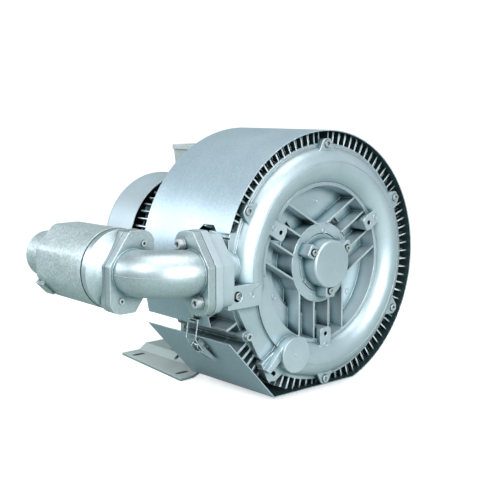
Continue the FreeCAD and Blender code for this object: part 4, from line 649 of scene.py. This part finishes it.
def barrelMesh(side, start):
    # rings from the seam to the far end, down the neck and back inside
    end = start + barrel["length"]
    neckEnd = end + barrel["neckLength"]
    inner = end - barrel["wall"]
    turns = [math.tau * k / barrel["sides"] for k in range(barrel["sides"])]
    rings = []
    for i in range(barrel["rings"] + 1):
        share = i / barrel["rings"]
        depth = start + (barrel["length"] - barrel["round"]) * share
        rings.append((depth, [barrelReach(turn, share ** barrel["change"], 0.0) for turn in turns]))
    for i in range(1, barrel["shoulderRings"] + 1):
        lean = math.pi / 2 * i / barrel["shoulderRings"]
        inset = barrel["round"] * (1 - math.cos(lean))
        depth = end - barrel["round"] * (1 - math.sin(lean))
        rings.append((depth, [barrelReach(turn, 1.0, inset) for turn in turns]))
    for depth, radius in ((end, barrel["neck"]), (neckEnd, barrel["neck"]), (neckEnd, barrel["bore"]),
                          (inner, barrel["bore"]), (inner, barrel["inside"]), (start, barrel["inside"])):
        rings.append((depth, [radius] * len(turns)))
    work = bmesh.new()
    rows = [[work.verts.new(place(side * barrel["axis"] + reach * math.cos(turn), depth,
                                  barrel["height"] + reach * math.sin(turn)))
             for turn, reach in zip(turns, reaches)] for depth, reaches in rings]
    for row, following in zip(rows, rows[1:] + rows[:1]):
        for k in range(barrel["sides"]):
            after = (k + 1) % barrel["sides"]
            work.faces.new((row[k], row[after], following[after], following[k]))
    # ear with a slit behind it, low on the outer side of the far end
    lean = math.radians(barrelEar["angles"][side])
    out = Vector((math.cos(lean), math.sin(lean)))
    base = Vector((side * barrel["axis"], barrel["height"])) + out * barrel["flat"]
    earFront = end + barrelEar["gap"]
    earBack = earFront + barrelEar["thickness"]
    addBox(work, base, out, barrelEar["width"], (barrelEar["inner"], barrelEar["outer"]), (earFront, earBack))
    addBox(work, base, out, barrelEar["width"], (-barrelEar["sunk"], barrelEar["outer"]),
           (end - barrelEar["stem"], earBack))
    bmesh.ops.recalc_face_normals(work, faces=work.faces)
    return meshFrom(work, "silencerBarrel")


for side, start in barrel["starts"].items():
    hand = hands[side]
    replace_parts(addPiece(hand + "SilencerBarrel", barrelMesh(side, start), "silencer_aluminium", barrel["soft"]),
                hand + "_silencer_barrel")

# the packing and the tube of each silencer, shortened to stop before the barrel's end wall
packing = {"starts": {"left": 135.0, "right": 327.0}, "share": 0.81,
           "parts": {"liner": "liner_fibre", "tube": "tube_steel"}}
for hand, start in packing["starts"].items():
    for part, slotName in packing["parts"].items():
        node = hand + "_silencer_" + part
        mesh = nodes[node].data.copy()
        mesh.transform(nodes[node].matrix_world)
        first = place(0, start, 0)[1]
        for vert in mesh.vertices:
            vert.co.y = first + (vert.co.y - first) * packing["share"]
        mesh.materials.clear()
        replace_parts(addPiece(hand + "Silencer" + part.capitalize(), mesh, slotName), node)
print("silencer barrels placed")


# the flange screws, with those that run along the silencers sunk to small ends in the flange
sunkScrew = {"plate": {-1: 97.0, 1: 289.0}, "from": 380.0, "headEnd": 0.2, "narrow": 0.62, "sink": 11.5}


def sunkScrewMesh():
    work = bmesh.new()
    work.from_mesh(nodes["flange_screws"].data)
    work.transform(nodes["flange_screws"].matrix_world)
    inner, middle = place(sunkScrew["from"], 0, barrel["height"])[0], place(0, 0, barrel["height"])[2]
    for side, plate in sunkScrew["plate"].items():
        headEnd = place(0, plate + sunkScrew["headEnd"], 0)[1]
        for upper in (True, False):
            screw = [v for v in work.verts if v.co.x * side > inner and (v.co.z > middle) == upper]
            x = (min(v.co.x for v in screw) + max(v.co.x for v in screw)) / 2
            z = (min(v.co.z for v in screw) + max(v.co.z for v in screw)) / 2
            for vert in screw:
                if vert.co.y < headEnd:
                    vert.co.x = x + (vert.co.x - x) * sunkScrew["narrow"]
                    vert.co.z = z + (vert.co.z - z) * sunkScrew["narrow"]
                    vert.co.y += sunkScrew["sink"] * mm
    return meshFrom(work, "flangeScrews")


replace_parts(addPiece("flangeScrews", sunkScrewMesh(), "screw_steel"), "flange_screws")
print("flange screws placed")


# floor of the recess above the hub
recessFloor = {"inner": 66.0, "outer": 120.0, "from": 52, "to": 128, "steps": 24, "depths": (47.6, 52.0)}
sweep, steps = recessFloor["to"] - recessFloor["from"], recessFloor["steps"]
arc = [math.radians(recessFloor["from"] + sweep * k / steps) for k in range(steps + 1)]
sector = [Vector((math.cos(a), math.sin(a))) * recessFloor["outer"] for a in arc]
sector += [Vector((math.cos(a), math.sin(a))) * recessFloor["inner"] for a in reversed(arc)]
addPlate("recessFloor", sector, None, recessFloor["depths"])

# seat round the bearing cap: it closes the hub's face up to the cap
hubSeat = {"bore": 30.0, "rim": 62.0, "sides": 96, "depths": (15.3, 22.0)}
addPlate("hubSeat", circle(hubSeat["rim"], hubSeat["sides"]), (0, 0, hubSeat["bore"]), hubSeat["depths"])
print("recess floor and hub seat placed")


# studio: white paper and four soft boxes, as a product is shot before it is cut out
white = "FFFFFF"
studio = {
    "floorSize": 60.0, "floorDrop": 0.0005, "paperGlow": 0.55, "bounce": "98A8A3", "whiteGlow": 1.1,
    "shadowTo": 0.5, "whiteFrom": 1.6,
    "sky": "9DB8BE", "zenith": 0.50, "horizon": 0.72, "below": 0.30, "zenithAt": 0.8, "belowAt": -0.3,
}
softBoxes = {
    "leftSoftBox": {"at": (-2.5, -0.5, 1.8), "aim": (0, 0, 0.25), "size": (1.5, 1.0), "power": 34,
                    "colour": "FAFCFF"},
    "backSoftBox": {"at": (-2.0, 2.0, 1.15), "aim": (-0.2, 0, 0.3), "size": (2.2, 0.9), "power": 40,
                    "colour": "F4F8FF"},
    "topSoftBox": {"at": (-0.3, -0.6, 2.8), "aim": (0, -0.1, 0.3), "size": (2.6, 2.0), "power": 52, "colour": white},
    "frontSoftBox": {"at": (-0.7, -3.1, 1.2), "aim": (0, -0.2, 0.3), "size": (2.4, 1.8), "power": 120,
                     "colour": "FAFCFF"},
}
photoCamera = {"lens": 70.38, "sensor": 36, "at": (-1.49519, -1.77219, 0.62658), "tilt": 81.512, "turn": -41.325}


def studioFloor():
    mesh = bpy.data.meshes.new("studioFloor")
    half = studio["floorSize"] / 2
    corners = [(x * half, y * half, -studio["floorDrop"]) for x, y in ((-1, -1), (1, -1), (1, 1), (-1, 1))]
    mesh.from_pydata(corners, [], [(0, 1, 2, 3)])
    floor = bpy.data.objects.new("studioFloor", mesh)
    bpy.context.scene.collection.objects.link(floor)
    # the paper is seen white, with a faint shadow near the blower, and throws back a dimmer light
    material, tree = newMaterial("whitePaperFloor")
    spot = addNode(tree, "ShaderNodeTexCoord").outputs["Object"]
    reach = addNode(tree, "ShaderNodeVectorMath", {"operation": "LENGTH"}, {0: spot})
    far = addNode(tree, "ShaderNodeMapRange", {"From Min": studio["shadowTo"], "From Max": studio["whiteFrom"]},
                  {"Value": reach.outputs["Value"]})
    seen = addNode(tree, "ShaderNodeLightPath").outputs["Is Camera Ray"]
    paper = addNode(tree, "ShaderNodeBsdfDiffuse", {"Color": linearColour(white)})
    glow = addNode(tree, "ShaderNodeEmission", {"Color": linearColour(white), "Strength": studio["paperGlow"]})
    lit = addNode(tree, "ShaderNodeAddShader", {}, {0: paper.outputs[0], 1: glow.outputs[0]})
    plain = addNode(tree, "ShaderNodeEmission", {"Color": linearColour(white), "Strength": studio["whiteGlow"]})
    shown = addNode(tree, "ShaderNodeMixShader", {}, {0: far.outputs[0], 1: lit.outputs[0], 2: plain.outputs[0]})
    bounce = addNode(tree, "ShaderNodeBsdfDiffuse", {"Color": linearColour(studio["bounce"])})
    surface = addNode(tree, "ShaderNodeMixShader", {}, {0: seen, 1: bounce.outputs[0], 2: shown.outputs[0]})
    addNode(tree, "ShaderNodeOutputMaterial", {}, {"Surface": surface.outputs[0]})
    mesh.materials.append(material)


def studioWorld():
    # white to the camera; to the blower, a pale sky that darkens below the horizon
    world = bpy.data.worlds.new("paleStudio")
    world.use_nodes = True
    tree = world.node_tree
    tree.nodes.clear()
    spot = addNode(tree, "ShaderNodeTexCoord").outputs["Generated"]
    height = addNode(tree, "ShaderNodeSeparateXYZ", {}, {0: spot}).outputs[2]
    rise = addNode(tree, "ShaderNodeMapRange", {
        "From Min": 0.0, "From Max": studio["zenithAt"], "To Min": studio["horizon"], "To Max": studio["zenith"]},
        {"Value": height})
    dip = addNode(tree, "ShaderNodeMapRange", {
        "From Min": studio["belowAt"], "From Max": 0.0, "To Min": studio["below"], "To Max": 1.0},
        {"Value": height})
    light = addNode(tree, "ShaderNodeMath", {"operation": "MULTIPLY"}, {0: rise.outputs[0], 1: dip.outputs[0]})
    sky = addNode(tree, "ShaderNodeBackground", {"Color": linearColour(studio["sky"])},
                  {"Strength": light.outputs[0]})
    plain = addNode(tree, "ShaderNodeBackground", {"Color": linearColour(white), "Strength": studio["whiteGlow"]})
    seen = addNode(tree, "ShaderNodeLightPath").outputs["Is Camera Ray"]
    glow = addNode(tree, "ShaderNodeMixShader", {}, {0: seen, 1: sky.outputs[0], 2: plain.outputs[0]})
    addNode(tree, "ShaderNodeOutputWorld", {}, {"Surface": glow.outputs[0]})
    bpy.context.scene.world = world


def softBox(name, look):
    light = bpy.data.lights.new(name, "AREA")
    light.shape = "RECTANGLE"
    light.size, light.size_y = look["size"]
    light.energy = look["power"]
    light.color = linearColour(look["colour"])[:3]
    lamp = bpy.data.objects.new(name, light)
    lamp.location = look["at"]
    lamp.rotation_euler = (Vector(look["aim"]) - Vector(look["at"])).to_track_quat("-Z", "Y").to_euler()
    bpy.context.scene.collection.objects.link(lamp)


studioFloor()
studioWorld()
for name, look in softBoxes.items():
    softBox(name, look)

camera = bpy.data.objects.new("photoCamera", bpy.data.cameras.new("photoCamera"))
camera.data.lens = photoCamera["lens"]
camera.data.sensor_width = photoCamera["sensor"]
camera.location = photoCamera["at"]
camera.rotation_euler = (math.radians(photoCamera["tilt"]), 0, math.radians(photoCamera["turn"]))
bpy.context.scene.collection.objects.link(camera)
bpy.context.scene.camera = camera
bpy.context.scene.view_settings.view_transform = "Standard"
print("studio lit")
